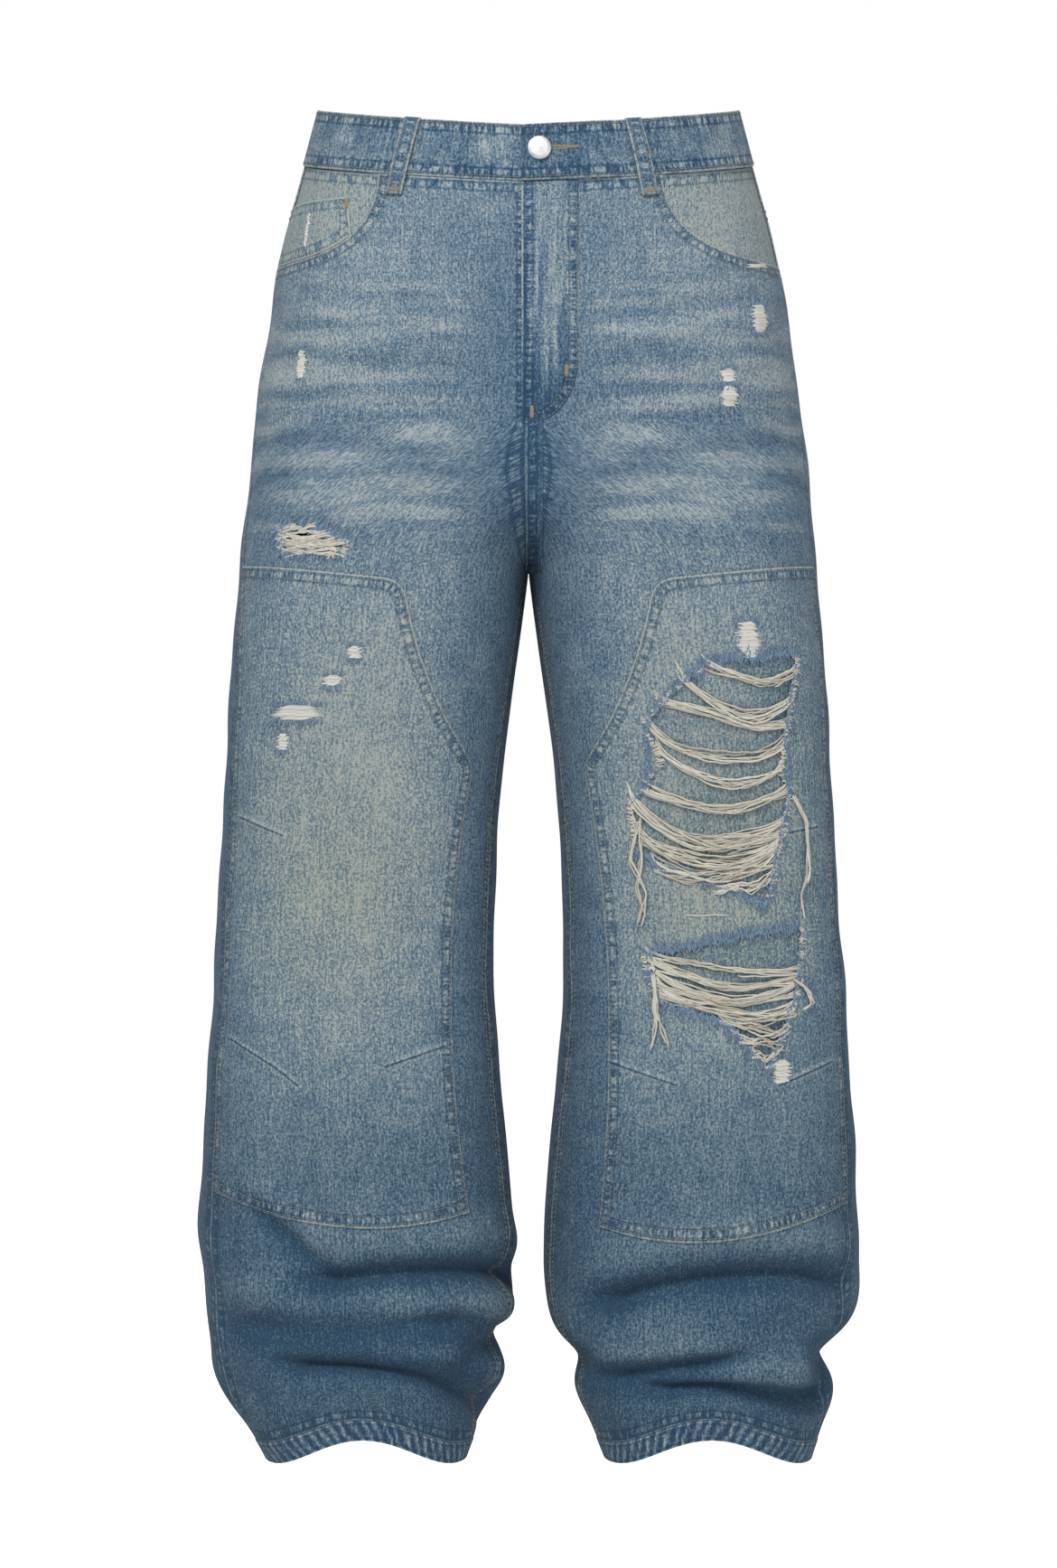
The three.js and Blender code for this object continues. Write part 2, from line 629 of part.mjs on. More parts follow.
// heading gives the turn round the waist at a share of the loop's length.
function beltLoop(name, heading) {
  const geometry = wall(2, LOOP.steps, (i, j, face) => {
    const share = j / LOOP.steps;
    const drop = lerp(-LOOP.above, BAND + LOOP.foot, share);
    const turn = heading(share);
    const a = bandPlace(turn - 0.5, drop, 0);
    const speed = a.distanceTo(bandPlace(turn + 0.5, drop, 0));
    const arch = Math.sin(Math.PI * Math.min(1, share / LOOP.tackedAt)) ** LOOP.fullness;
    const stand = bandFace + GAP + LOOP.slack * arch;
    return bandPlace(turn + ((i - 1) * LOOP.width) / 2 / speed, drop, stand + (face ? LOOP.cloth : 0));
  });
  add(name, geometry, fadedDenim);
}
const SIDE_LOOP = 318; // turn of the loop over the back of the left hip
beltLoop("belt_loop_front_right", (share) =>
  180 - angleAt(right, lerp(right.loopTop, right.loopFoot, share), lerp(0, BAND, share)),
);
beltLoop("belt_loop_front_left", (share) =>
  angleAt(left, lerp(left.loopTop, left.loopFoot, share), lerp(0, BAND, share)),
);
beltLoop("belt_loop_side_right", () => 540 - SIDE_LOOP);
beltLoop("belt_loop_side_left", () => SIDE_LOOP);
beltLoop("belt_loop_back", () => 270);

// ---- shank button ----
const BUTTON = { x: 7.7, drop: 18.5, radius: 8.6, height: 2.6, shank: 3.2, stand: 1.4 };
{
  const profile = [
    [0, 0], [BUTTON.shank, 0], [BUTTON.shank, BUTTON.stand], [BUTTON.radius - 0.9, BUTTON.stand],
    [BUTTON.radius, BUTTON.stand + 0.8], [BUTTON.radius - 0.5, BUTTON.stand + 1.7],
    [BUTTON.radius - 2.4, BUTTON.stand + BUTTON.height - 0.25], [0, BUTTON.stand + BUTTON.height],
  ].map(([r, h]) => new THREE.Vector2(r, h));
  const geometry = new THREE.LatheGeometry(profile, 24);
  const turn = angleAt(left, BUTTON.x, BUTTON.drop);
  const outer = bandFace + LAP_RISE;
  const seat = clothPoint(left, turn, BUTTON.drop, outer + GAP);
  const normal = clothPoint(left, turn, BUTTON.drop, outer + 10).sub(seat).normalize();
  const button = add("button", geometry, dullMetal);
  button.position.copy(seat);
  button.quaternion.setFromUnitVectors(new THREE.Vector3(0, 1, 0), normal);
}

export default jeans;
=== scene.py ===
import math
import random

import bpy
import numpy as np
from mathutils.geometry import delaunay_2d_cdt
from mathutils.kdtree import KDTree
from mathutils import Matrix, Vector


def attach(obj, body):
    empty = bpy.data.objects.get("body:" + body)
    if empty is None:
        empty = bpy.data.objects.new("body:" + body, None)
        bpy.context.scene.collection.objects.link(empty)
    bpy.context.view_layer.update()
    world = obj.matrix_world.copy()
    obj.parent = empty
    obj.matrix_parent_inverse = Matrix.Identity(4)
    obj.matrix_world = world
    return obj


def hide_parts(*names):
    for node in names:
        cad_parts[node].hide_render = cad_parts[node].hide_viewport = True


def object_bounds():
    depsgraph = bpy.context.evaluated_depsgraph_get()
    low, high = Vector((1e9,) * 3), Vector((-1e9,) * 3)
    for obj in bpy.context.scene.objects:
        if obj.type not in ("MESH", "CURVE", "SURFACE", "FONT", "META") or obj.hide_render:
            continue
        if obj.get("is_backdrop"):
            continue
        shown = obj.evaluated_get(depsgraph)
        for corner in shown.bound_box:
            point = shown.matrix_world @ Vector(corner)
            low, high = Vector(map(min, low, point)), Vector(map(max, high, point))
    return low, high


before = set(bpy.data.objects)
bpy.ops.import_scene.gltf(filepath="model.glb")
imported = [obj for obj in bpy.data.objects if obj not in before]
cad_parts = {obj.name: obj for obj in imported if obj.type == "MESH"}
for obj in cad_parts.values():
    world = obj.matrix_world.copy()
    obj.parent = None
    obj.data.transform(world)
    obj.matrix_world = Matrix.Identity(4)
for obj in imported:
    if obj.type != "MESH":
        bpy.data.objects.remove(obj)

bl_info = {
    "name": "Ripped double-knee jeans",
    "version": (1, 0, 0),
    "blender": (4, 5, 0),
    "location": "3D View > Sidebar > Jeans",
    "description": "Sews a pair of washed, torn denim jeans over their construction solids",
    "category": "Mesh",
}

CAD_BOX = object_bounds()
MM = 0.001

# ---------------------------------------------------------------- driving dimensions, in millimetres
# A drop is how far a level lies below the top edge of the waistband at the sides.
BAND = 41
TOP = BAND / 2
CLOTH = 1.2
BAND_CLOTH = 2.4
HEM_CLOTH = 2.4
GAP = 0.3
CROTCH = 343
CROTCH_ZONE = 110
HEM = 991
HEM_HEIGHT = 15
PANEL_END = HEM - HEM_HEIGHT - GAP
FRONT_DIP = 25.6
HEM_LIFT = 22
HEEL_LIFT = 5
FORK = 25

WAIST = 154
HIP = 188
SEAT = 212
KNEE = 230
ANKLE = 241
KNEE_DROP = 600
ANKLE_DROP = 820
KNEE_SPACE = 25
ANKLE_SPACE = 11
CREASE_END = 26


# ---------------------------------------------------------------- small mathematics
def smoothstep(x, low, high):
    t = np.clip((np.asarray(x, float) - low) / (high - low), 0, 1)
    return t * t * (3 - 2 * t)


def hump(t):
    return np.exp(-t * t)


def through(*stations):
    """A smooth curve through [position, value] stations, with no overshoot between them."""
    at, values = np.array(stations, float).T
    slopes = np.diff(values) / np.diff(at)
    tangents = np.empty_like(values)
    tangents[0], tangents[-1] = slopes[0], slopes[-1]
    before, after = slopes[:-1], slopes[1:]
    total = np.where(before * after > 0, before + after, 1)
    tangents[1:-1] = np.where(before * after > 0, 2 * before * after / total, 0)

    def value(x):
        x = np.clip(np.asarray(x, float), at[0], at[-1])
        i = np.clip(np.searchsorted(at, x, "right") - 1, 0, len(at) - 2)
        width = at[i + 1] - at[i]
        t = (x - at[i]) / width
        rest = 1 - t
        return (rest * rest * (1 + 2 * t) * values[i] + t * t * (3 - 2 * t) * values[i + 1]
                + t * rest * width * (rest * tangents[i] - t * tangents[i + 1]))
    return value


front_depth = through([0, 111], [180, 127], [CROTCH, 118], [KNEE_DROP, 90], [ANKLE_DROP, 92], [HEM, 78])
back_depth = through([0, 111], [210, 152], [CROTCH, 134], [KNEE_DROP, 94], [ANKLE_DROP, 95], [HEM, 84])
squareness = through([0, 0.02], [200, 0.05], [HEM, 0.02])
outseam = through([0, 3], [240, 10], [400, 24], [ANKLE_DROP, 26], [HEM, 18])
inseam = through([CROTCH, 180], [CROTCH + FORK, 163], [KNEE_DROP, 158], [HEM, 165])


class Crease:
    """A fold round a leg between two angles, which starts, bends and ends at three drops."""

    def __init__(self, depth, width, span, drops, ridge=0.4):
        self.depth, self.width, self.ridge = depth, width, ridge
        self.start, self.end = span
        self.drops = drops

    def move(self, degrees, drop):
        out, down = np.zeros_like(drop), np.zeros_like(drop)
        for turned in (degrees - 360, degrees, degrees + 360):
            inside = np.minimum(turned - self.start, self.end - turned)
            t = (turned - self.start) / (self.end - self.start)
            first, middle, last = self.drops
            line = first * (1 - t) * (1 - 2 * t) + 4 * middle * t * (1 - t) + last * t * (2 * t - 1)
            above = (line - drop) / self.width
            strength = np.where(inside > 0, self.depth * smoothstep(inside, 0, CREASE_END), 0)
            out += strength * (self.ridge * hump((above - 1.8) / 1.1) - hump(above / 0.95))
            down += strength * 0.35 * hump(above - 1.1)
        return out, down


class Half:
    """One half of the jeans: what differs between the wearer's right and left."""

    def __init__(self, name, side, stack_reach, hem_reach, stack_space, hem_space, scoop_reach,
                 loop_top, loop_foot, turned, knee_foot, knee_foot_inner, creases, whiskers, seed):
        self.name, self.side = name, side
        self.reach = through([0, WAIST], [BAND, WAIST + 11], [130, HIP], [CROTCH, SEAT], [KNEE_DROP, KNEE],
                             [ANKLE_DROP, ANKLE], [915, stack_reach], [HEM, hem_reach])
        self.space = through([CROTCH, 0.3], [KNEE_DROP - 60, KNEE_SPACE - 2], [KNEE_DROP + 30, KNEE_SPACE],
                             [ANKLE_DROP + 25, ANKLE_SPACE], [915, stack_space], [HEM, hem_space])
        self.scoop_reach, self.loop_top, self.loop_foot = scoop_reach, loop_top, loop_foot
        self.turned, self.knee_foot, self.knee_foot_inner = turned, knee_foot, knee_foot_inner
        self.creases, self.whiskers, self.seed = creases, whiskers, seed
        self._unrolled = None

    # ---- the section at a drop
    def section(self, drop):
        drop = np.asarray(drop, float)
        reach, space = self.reach(drop), self.space(drop)
        parted = smoothstep(drop, CROTCH - CROTCH_ZONE, CROTCH)
        above = drop < CROTCH
        width = np.where(above, reach / (1 + parted), (reach - space) / 2)
        centre = np.where(above, parted * reach / (1 + parted), (reach + space) / 2)
        front, back = front_depth(drop), back_depth(drop)
        return width, centre, (front + back) / 2, (back - front) / 2, squareness(drop)

    def angle_at(self, x, drop):
        """Degrees on the front of the section at a distance x from the middle."""
        width, centre, _, _, k = self.section(drop)
        target = np.clip((x - centre) / width, -1, 1)
        cos = target.copy()
        for _ in range(8):
            cos = cos - (squared(cos, k) - target) / ((1 + 3 * k - 12 * k * cos * cos) / (1 - k))
        return np.degrees(np.arccos(np.clip(cos, -1, 1)))

    def outer_edge(self, drop, behind=False):
        return outseam(drop) + self.turned * smoothstep(drop, 240, 400) + (360 if behind else 0)

    def inner_edge(self, drop, behind=False):
        drop = np.asarray(drop, float)
        middle = self.angle_at(GAP / 2, np.minimum(drop, CROTCH))
        middle = 360 - middle if behind else middle
        return np.where(drop < CROTCH, middle, inseam(drop))

    # ---- the outer face
    def face(self, degrees, drop, folds=True):
        degrees, drop = np.broadcast_arrays(np.asarray(degrees, float), np.asarray(drop, float))
        width, centre, depth, middle, k = self.section(drop)
        cos, sin = np.cos(np.radians(degrees)), np.sin(np.radians(degrees))
        c, d = squared(cos, k), squared(sin, k)
        normal = np.stack([c / width, -d / depth])
        normal /= np.linalg.norm(normal, axis=0)
        out, down = np.zeros_like(drop), np.zeros_like(drop)
        if folds:
            for fold in self.creases:
                o, w = fold.move(degrees, drop)
                out, down = out + o, down + w
            out = out + self.softness(degrees, drop) + 0.9 * self.whisker(degrees, drop)
        at_waist = 1 - smoothstep(drop, BAND, 240)
        at_hem = smoothstep(drop, 890, HEM - 10)
        dip = np.where(sin > 0, FRONT_DIP * (0.7 * sin + 0.3 * (1 - np.abs(cos))), 0)
        lift = HEM_LIFT * np.maximum(0, sin) ** 5 + HEEL_LIFT * np.maximum(0, -sin) ** 2
        return np.stack([self.side * (centre + width * c + normal[0] * out),
                         middle - depth * d + normal[1] * out,
                         TOP - drop - dip * at_waist + lift * at_hem - down], axis=-1)

    def skin(self, degrees, drop):
        """The outer face and its normal."""
        point = self.face(degrees, drop)
        around = self.face(degrees + 0.5, drop) - self.face(degrees - 0.5, drop)
        below = self.face(degrees, drop + 0.5) - self.face(degrees, drop - 0.5)
        normal = self.side * np.cross(around, below)
        return point, normal / np.linalg.norm(normal, axis=-1, keepdims=True)

    def cloth(self, degrees, drop, out):
        """The face moved out along the cloth's normal."""
        point, normal = self.skin(degrees, drop)
        return point + normal * np.asarray(out, float)[..., None]

    def softness(self, degrees, drop):
        """Slight unevenness of worn cloth: slack drag lines that cross the leg at a slant."""
        a, s = np.radians(degrees), self.seed
        width, centre, _, _, k = self.section(drop)
        x = centre + width * squared(np.cos(a), k)
        calm = smoothstep(drop, 60, 150) * (1 - smoothstep(drop, 950, PANEL_END)) * smoothstep(x, 3, 45)
        lines = (0.8 * np.sin(drop / 21 + 2 * a + s) * np.sin(drop / 67 + a + 2 * s)
                 + 0.7 * np.sin(drop / 13 - 3 * a + 3 * s) * np.sin(drop / 41 - a + s)
                 + 1.2 * np.sin(drop / 88 + 2 * a + 5 * s) * np.sin(2 * a + s))
        stacked = 1 + 1.2 * smoothstep(drop, 780, 860)
        return calm * stacked * lines

    def whisker(self, degrees, drop):
        """Height of the worn whiskers that run from the hip towards the crotch."""
        width, centre, _, _, k = self.section(drop)
        x = centre + width * squared(np.cos(np.radians(degrees)), k)
        height = np.zeros_like(x)
        for outer, outer_drop, inner, inner_drop, strength in self.whiskers:
            t = np.clip((outer - x) / (outer - inner), 0, 1)
            line = outer_drop + (inner_drop - outer_drop) * t ** 1.4
            ends = smoothstep(x, inner - 18, inner + 14) * (1 - smoothstep(x, outer - 12, outer + 16))
            height += strength * ends * (hump((drop - line) / 6.5) - 0.75 * hump((drop - line - 11) / 4.5))
        return height * (np.sin(np.radians(degrees)) > 0)

    # ---- the cloth rolled out flat: x is the way round from the front grain line
    def unrolled(self):
        if self._unrolled is None:
            degrees, drops = np.arange(-60, 421, 2.0), np.arange(-4, HEM + 8, 6.0)
            grid = self.face(*np.meshgrid(degrees, drops), folds=False)
            steps = np.linalg.norm(np.diff(grid, axis=1), axis=2)
            run = np.concatenate([np.zeros((len(drops), 1)), np.cumsum(steps, axis=1)], axis=1)
            self._unrolled = degrees, drops, run - run[:, [int(150 / 2)]]
        return self._unrolled

    def rows_at(self, drop):
        degrees, drops, run = self.unrolled()
        r = np.clip((drop - drops[0]) / 6.0, 0, len(drops) - 1.001)
        i = r.astype(int)
        f = (r - i)[:, None]
        return degrees, run[i] * (1 - f) + run[i + 1] * f

    def flat(self, degrees, drop):
        degrees, drop = np.atleast_1d(degrees).astype(float), np.atleast_1d(drop).astype(float)
        table, run = self.rows_at(drop)
        p = np.clip((degrees - table[0]) / 2.0, 0, len(table) - 1.001)
        i = p.astype(int)
        f, row = p - i, np.arange(len(drop))
        return np.stack([run[row, i] * (1 - f) + run[row, i + 1] * f, drop], axis=1)

    def rolled(self, points):
        """Degrees of flat points."""
        result = np.empty(len(points))
        for start in range(0, len(points), 4000):
            part = points[start:start + 4000]
            table, run = self.rows_at(part[:, 1])
            i = np.clip((run <= part[:, :1]).sum(axis=1) - 1, 0, len(table) - 2)
            row = np.arange(len(part))
            low, high = run[row, i], run[row, i + 1]
            result[start:start + 4000] = table[i] + 2.0 * (part[:, 0] - low) / (high - low)
        return result

    def find(self, x, z, behind=False):
        """Degrees and drop of the place seen at x and z, from the front or from behind."""
        x, z = np.atleast_1d(x).astype(float), np.atleast_1d(z).astype(float)
        drop, want = TOP - z, x.copy()
        for _ in range(6):
            degrees = self.angle_at(want, drop)
            degrees = 360 - degrees if behind else degrees
            point = self.face(degrees, drop)
            drop = drop + (point[:, 2] - z)
            want = want - 0.7 * (self.side * point[:, 0] - x)
        return degrees, drop


def squared(c, k):
    """A cosine or sine made slightly square, so that a section fills its corners."""
    return ((1 + 3 * k) * c - 4 * k * c ** 3) / (1 - k)


RIGHT = Half(
    "right", -1, stack_reach=231, hem_reach=193, stack_space=19, hem_space=46, scoop_reach=78,
    loop_top=82, loop_foot=93, turned=4, knee_foot=805, knee_foot_inner=43,
    creases=[
        Crease(6, 12, [45, 95], [790, 826, 862]), Crease(9, 14, [60, 200], [858, 843, 868]),
        Crease(7, 15, [25, 165], [890, 889, 893]), Crease(10, 14, [120, 250], [915, 897, 905]),
        Crease(10, 13, [50, 195], [914, 924, 965]), Crease(7, 14, [195, 350], [880, 870, 880]),
        Crease(8, 14, [195, 350], [930, 935, 925]),
        Crease(5, 6, [60, 190], [858, 843, 866]), Crease(5, 6, [50, 160], [914, 923, 950]),
        Crease(3.5, 6, [95, 185], [884, 880, 898]), Crease(4, 6, [200, 340], [906, 900, 912]),
    ],
    whiskers=[
        (172, 122, 60, 134, 0.7), (176, 150, 42, 160, 1.0),
        (180, 178, 44, 190, 0.8), (182, 206, 38, 224, 1.0),
        (186, 236, 40, 256, 0.9), (188, 262, 46, 286, 0.8), (150, 292, 40, 306, 0.5),
    ], seed=0.7,
)
LEFT = Half(
    "left", 1, stack_reach=231, hem_reach=208, stack_space=27, hem_space=56, scoop_reach=90,
    loop_top=74, loop_foot=84, turned=0, knee_foot=815, knee_foot_inner=51,
    creases=[
        Crease(9, 14, [15, 145], [862, 845, 880]), Crease(17, 22, [-60, 55], [908, 909, 920], 0.1),
        Crease(11, 18, [130, 250], [922, 912, 912], 0.1), Crease(8, 13, [70, 150], [914, 918, 930]),
        Crease(10, 12, [10, 130], [938, 941, 937]), Crease(7, 14, [195, 350], [875, 872, 880]),
        Crease(8, 14, [195, 350], [928, 922, 930]),
        Crease(5, 6, [20, 140], [862, 846, 876]), Crease(5, 6, [65, 150], [905, 914, 926]),
        Crease(5, 6, [15, 130], [938, 934, 936]), Crease(4, 6, [200, 340], [902, 908, 900]),
    ],
    whiskers=[
        (168, 130, 66, 146, 0.8), (172, 158, 60, 172, 0.9),
        (180, 186, 74, 206, 0.7), (184, 214, 56, 232, 1.0),
        (188, 240, 54, 258, 0.9), (190, 270, 50, 286, 0.8), (140, 300, 44, 310, 0.5),
    ], seed=2.1,
)
HALVES = (RIGHT, LEFT)


# ---------------------------------------------------------------- lines on the cloth
def resample(points, step):
    points = np.asarray(points, float)
    lengths = np.concatenate([[0], np.cumsum(np.linalg.norm(np.diff(points, axis=0), axis=1))])
    count = max(2, int(math.ceil(lengths[-1] / step)) + 1)
    at = np.linspace(0, lengths[-1], count)
    return np.stack([np.interp(at, lengths, points[:, i]) for i in range(points.shape[1])], axis=1)


def curve(start, bend, end, steps=12):
    """A quadratic curve, as a list of points."""
    t = np.linspace(0, 1, steps + 1)[:, None]
    start, bend, end = (np.array(p, float) for p in (start, bend, end))
    return (1 - t) ** 2 * start + 2 * t * (1 - t) * bend + t * t * end


def vertical(half, edge, low, high, step=3.0):
    """A line down the cloth at the angle that edge(drop) gives, in flat coordinates."""
    drops = np.linspace(low, high, max(2, int(abs(high - low) / step)))
    return half.flat(edge(drops), drops)


def across(half, first, last, drops, step=2.0):
    """A line round the cloth between two angles; drops is one level, or one for each end."""
    low, high = drops if isinstance(drops, (tuple, list)) else (drops, drops)
    count = max(3, int(abs(last - first) / step) + 1)
    return half.flat(np.linspace(first, last, count), np.linspace(low, high, count))


def seen(half, points, behind=False):
    """A line given by x and drop as seen from the front or behind, in flat coordinates."""
    points = resample(points, 3.0)
    return half.flat(*half.find(points[:, 0], TOP - points[:, 1], behind))


def closed(*lines):
    """Joins lines end to end into one loop of evenly spaced points, keeping each line's corners."""
    parts = [resample(line, 3.0)[:-1] for line in lines]
    loop = np.concatenate(parts)
    keep = np.linalg.norm(loop - np.roll(loop, 1, axis=0), axis=1) > 0.4
    return loop[keep]


def inside_loop(points, loop):
    """Which points lie inside a closed loop."""
    inside = np.zeros(len(points), bool)
    order = np.argsort(points[:, 1])
    x, y = points[order, 0], points[order, 1]
    after = np.roll(loop, -1, axis=0)
    low = np.searchsorted(y, np.minimum(loop[:, 1], after[:, 1]))
    high = np.searchsorted(y, np.maximum(loop[:, 1], after[:, 1]))
    for (ax, ay), (bx, by), first, last in zip(loop, after, low, high):
        if last > first:
            crossing = ax + (y[first:last] - ay) / (by - ay) * (bx - ax)
            inside[first:last] ^= x[first:last] < crossing
    result = np.empty(len(points), bool)
    result[order] = inside
    return result


def nearest(points, starts, ends, runs):
    """Distance from each point to the nearest segment, and the run along it there."""
    tree = KDTree(len(starts))
    for i, (x, y) in enumerate((starts + ends) / 2):
        tree.insert((x, y, 0), i)
    tree.balance()
    pick = np.array([tree.find((x, y, 0))[1] for x, y in points.tolist()], int)
    best, run = np.full(len(points), 1e6), np.zeros(len(points))
    for step in (-1, 0, 1):
        near = np.clip(pick + step, 0, len(starts) - 1)
        span = ends[near] - starts[near]
        length = np.maximum((span ** 2).sum(axis=1), 1e-9)
        t = np.clip(((points - starts[near]) * span).sum(axis=1) / length, 0, 1)
        gap = np.linalg.norm(points - (starts[near] + t[:, None] * span), axis=1)
        closer = gap < best
        best = np.where(closer, gap, best)
        run = np.where(closer, runs[near] + t * np.sqrt(length), run)
    return best, run


def segments_of(lines, ring):
    starts, ends, runs = [], [], []
    for line in lines:
        after = np.roll(line, -1, axis=0) if ring else line[1:]
        before = line if ring else line[:-1]
        lengths = np.linalg.norm(after - before, axis=1)
        starts.append(before)
        ends.append(after)
        runs.append(np.concatenate([[0], np.cumsum(lengths)[:-1]]))
    return np.concatenate(starts), np.concatenate(ends), np.concatenate(runs)


def inset(line, distance, ring=True):
    """A line moved sideways: to the left of its direction when distance is positive."""
    ahead = np.roll(line, -1, axis=0) - np.roll(line, 1, axis=0)
    if not ring:
        ahead[0], ahead[-1] = line[1] - line[0], line[-1] - line[-2]
    normal = np.stack([-ahead[:, 1], ahead[:, 0]], axis=1)
    normal /= np.maximum(np.linalg.norm(normal, axis=1, keepdims=True), 1e-9)
    return line + normal * distance


def area_of(loop):
    x, y = loop.T
    return 0.5 * float(np.sum(x * np.roll(y, -1) - y * np.roll(x, -1)))


def inward(loop, distance):
    return inset(loop, distance if area_of(loop) > 0 else -distance)


# ---------------------------------------------------------------- wash, with painted shade in fold troughs
knee_wash = through([330, 0.62], [400, 0.70], [520, 0.78], [620, 0.70], [700, 0.56], [770, 0.34], [850, 0.22],
                    [HEM, 0.24])
side_wash = through([0, 0.62], [200, 0.54], [340, 0.40], [420, 0.34], [600, 0.28], [800, 0.20], [HEM, 0.20])


def wash_and_fold_shade(half, degrees, drop):
    """How faded the cloth is, from 0 to 1, with fold ridges worn paler and painted shade in fold troughs, and
    how stained.
    """
    x = np.abs(half.face(degrees, drop, folds=False)[..., 0])
    around = np.where(degrees > 180, 360 - degrees, degrees)
    facing = hump((around - 88) / 50)
    hips = 0.60 + 0.06 * hump((x - 120) / 60) - 0.16 * hump(x / 40) * smoothstep(drop, 60, 120)
    middle = np.where(drop < 330, hips, knee_wash(drop))
    side = side_wash(drop)
    blend = np.where(drop < 330, np.maximum(facing, 1 - smoothstep(drop, 180, 330)), facing)
    fade = side + (middle - side) * blend
    fade = np.where(degrees > 180, 0.80 * fade + 0.10 * hump((drop - 200) / 90), fade)
    # Darker down the middle, from below the fly to the crotch.
    fade -= 0.10 * hump(x / 30) * smoothstep(drop, 150, 250) * (1 - smoothstep(drop, 343, 480))
    # Painted shade darkens the fold troughs; fold ridges are worn paler.
    folds = sum(fold.move(degrees, drop)[0] for fold in half.creases)
    fade += np.clip(folds / 16, -0.26, 0.22) + 0.08 * half.whisker(degrees, drop)
    stain = 0.30 * hump((drop - 590) / 80) * hump((around - 84) / 34)
    stain += 0.42 * hump((drop - 520) / 150) * hump((around - 80) / 55)
    stain += 0.30 * smoothstep(drop, 640, 760) + 0.08
    return np.clip(fade, 0, 1), np.clip(stain, 0, 1)


# ---------------------------------------------------------------- meshes
def new_object(name, vertices, faces, material, smooth=True):
    mesh = bpy.data.meshes.new(name)
    mesh.from_pydata(np.asarray(vertices) * MM, [], faces)
    mesh.materials.append(material)
    mesh.polygons.foreach_set("use_smooth", np.full(len(mesh.polygons), smooth))
    mesh.update()
    thing = bpy.data.objects.new(name, mesh)
    bpy.context.scene.collection.objects.link(thing)
    return thing


def set_values(mesh, **values):
    for name, numbers in values.items():
        layer = mesh.attributes.new(name, "FLOAT", "POINT")
        layer.data.foreach_set("value", np.asarray(numbers, np.float32))


def set_cloth_map(mesh, flat):
    """The cloth's own map, in metres along and across the grain."""
    uv = mesh.uv_layers.new(name="cloth")
    corners = np.empty(len(mesh.loops), int)
    mesh.loops.foreach_get("vertex_index", corners)
    uv.data.foreach_set("uv", (flat[corners] * MM).astype(np.float32).ravel())


def face_out(vertices, faces):
    """Turns every face round when the solid is inside out."""
    p, f = np.asarray(vertices), np.asarray(faces)
    volume = np.einsum("ij,ij->i", p[f[:, 0]], np.cross(p[f[:, 1]], p[f[:, 2]])).sum()
    return f[:, ::-1] if volume < 0 else f


def grid_points(low, high, spacing):
    """Staggered rows of points, closer together where the cloth stacks over the shoe."""
    rows, y = [], low[1]
    while y < high[1]:
        fine = spacing * (0.62 if y > STACK_START else 1.0)
        xs = np.arange(low[0] + (len(rows) % 2) * fine / 2, high[0], fine)
        rows.append(np.stack([xs, np.full(len(xs), y)], axis=1))
        y += fine * 0.87
    return np.concatenate(rows)


def with_rim(faces, count):
    """Adds the inner side, count vertices further on, and the wall between the two sides."""
    sides = np.concatenate([faces[:, [0, 1]], faces[:, [1, 2]], faces[:, [2, 0]]])
    _, index, times = np.unique(np.sort(sides, axis=1), axis=0, return_index=True, return_counts=True)
    rim = sides[index[times == 1]]
    walls = [np.stack([rim[:, 1], rim[:, 0], rim[:, 0] + count], axis=1),
             np.stack([rim[:, 1], rim[:, 0] + count, rim[:, 1] + count], axis=1)]
    return np.concatenate([faces, faces[:, ::-1] + count, *walls])


def twice(values):
    return np.concatenate([values, values])


STACK_START = 780


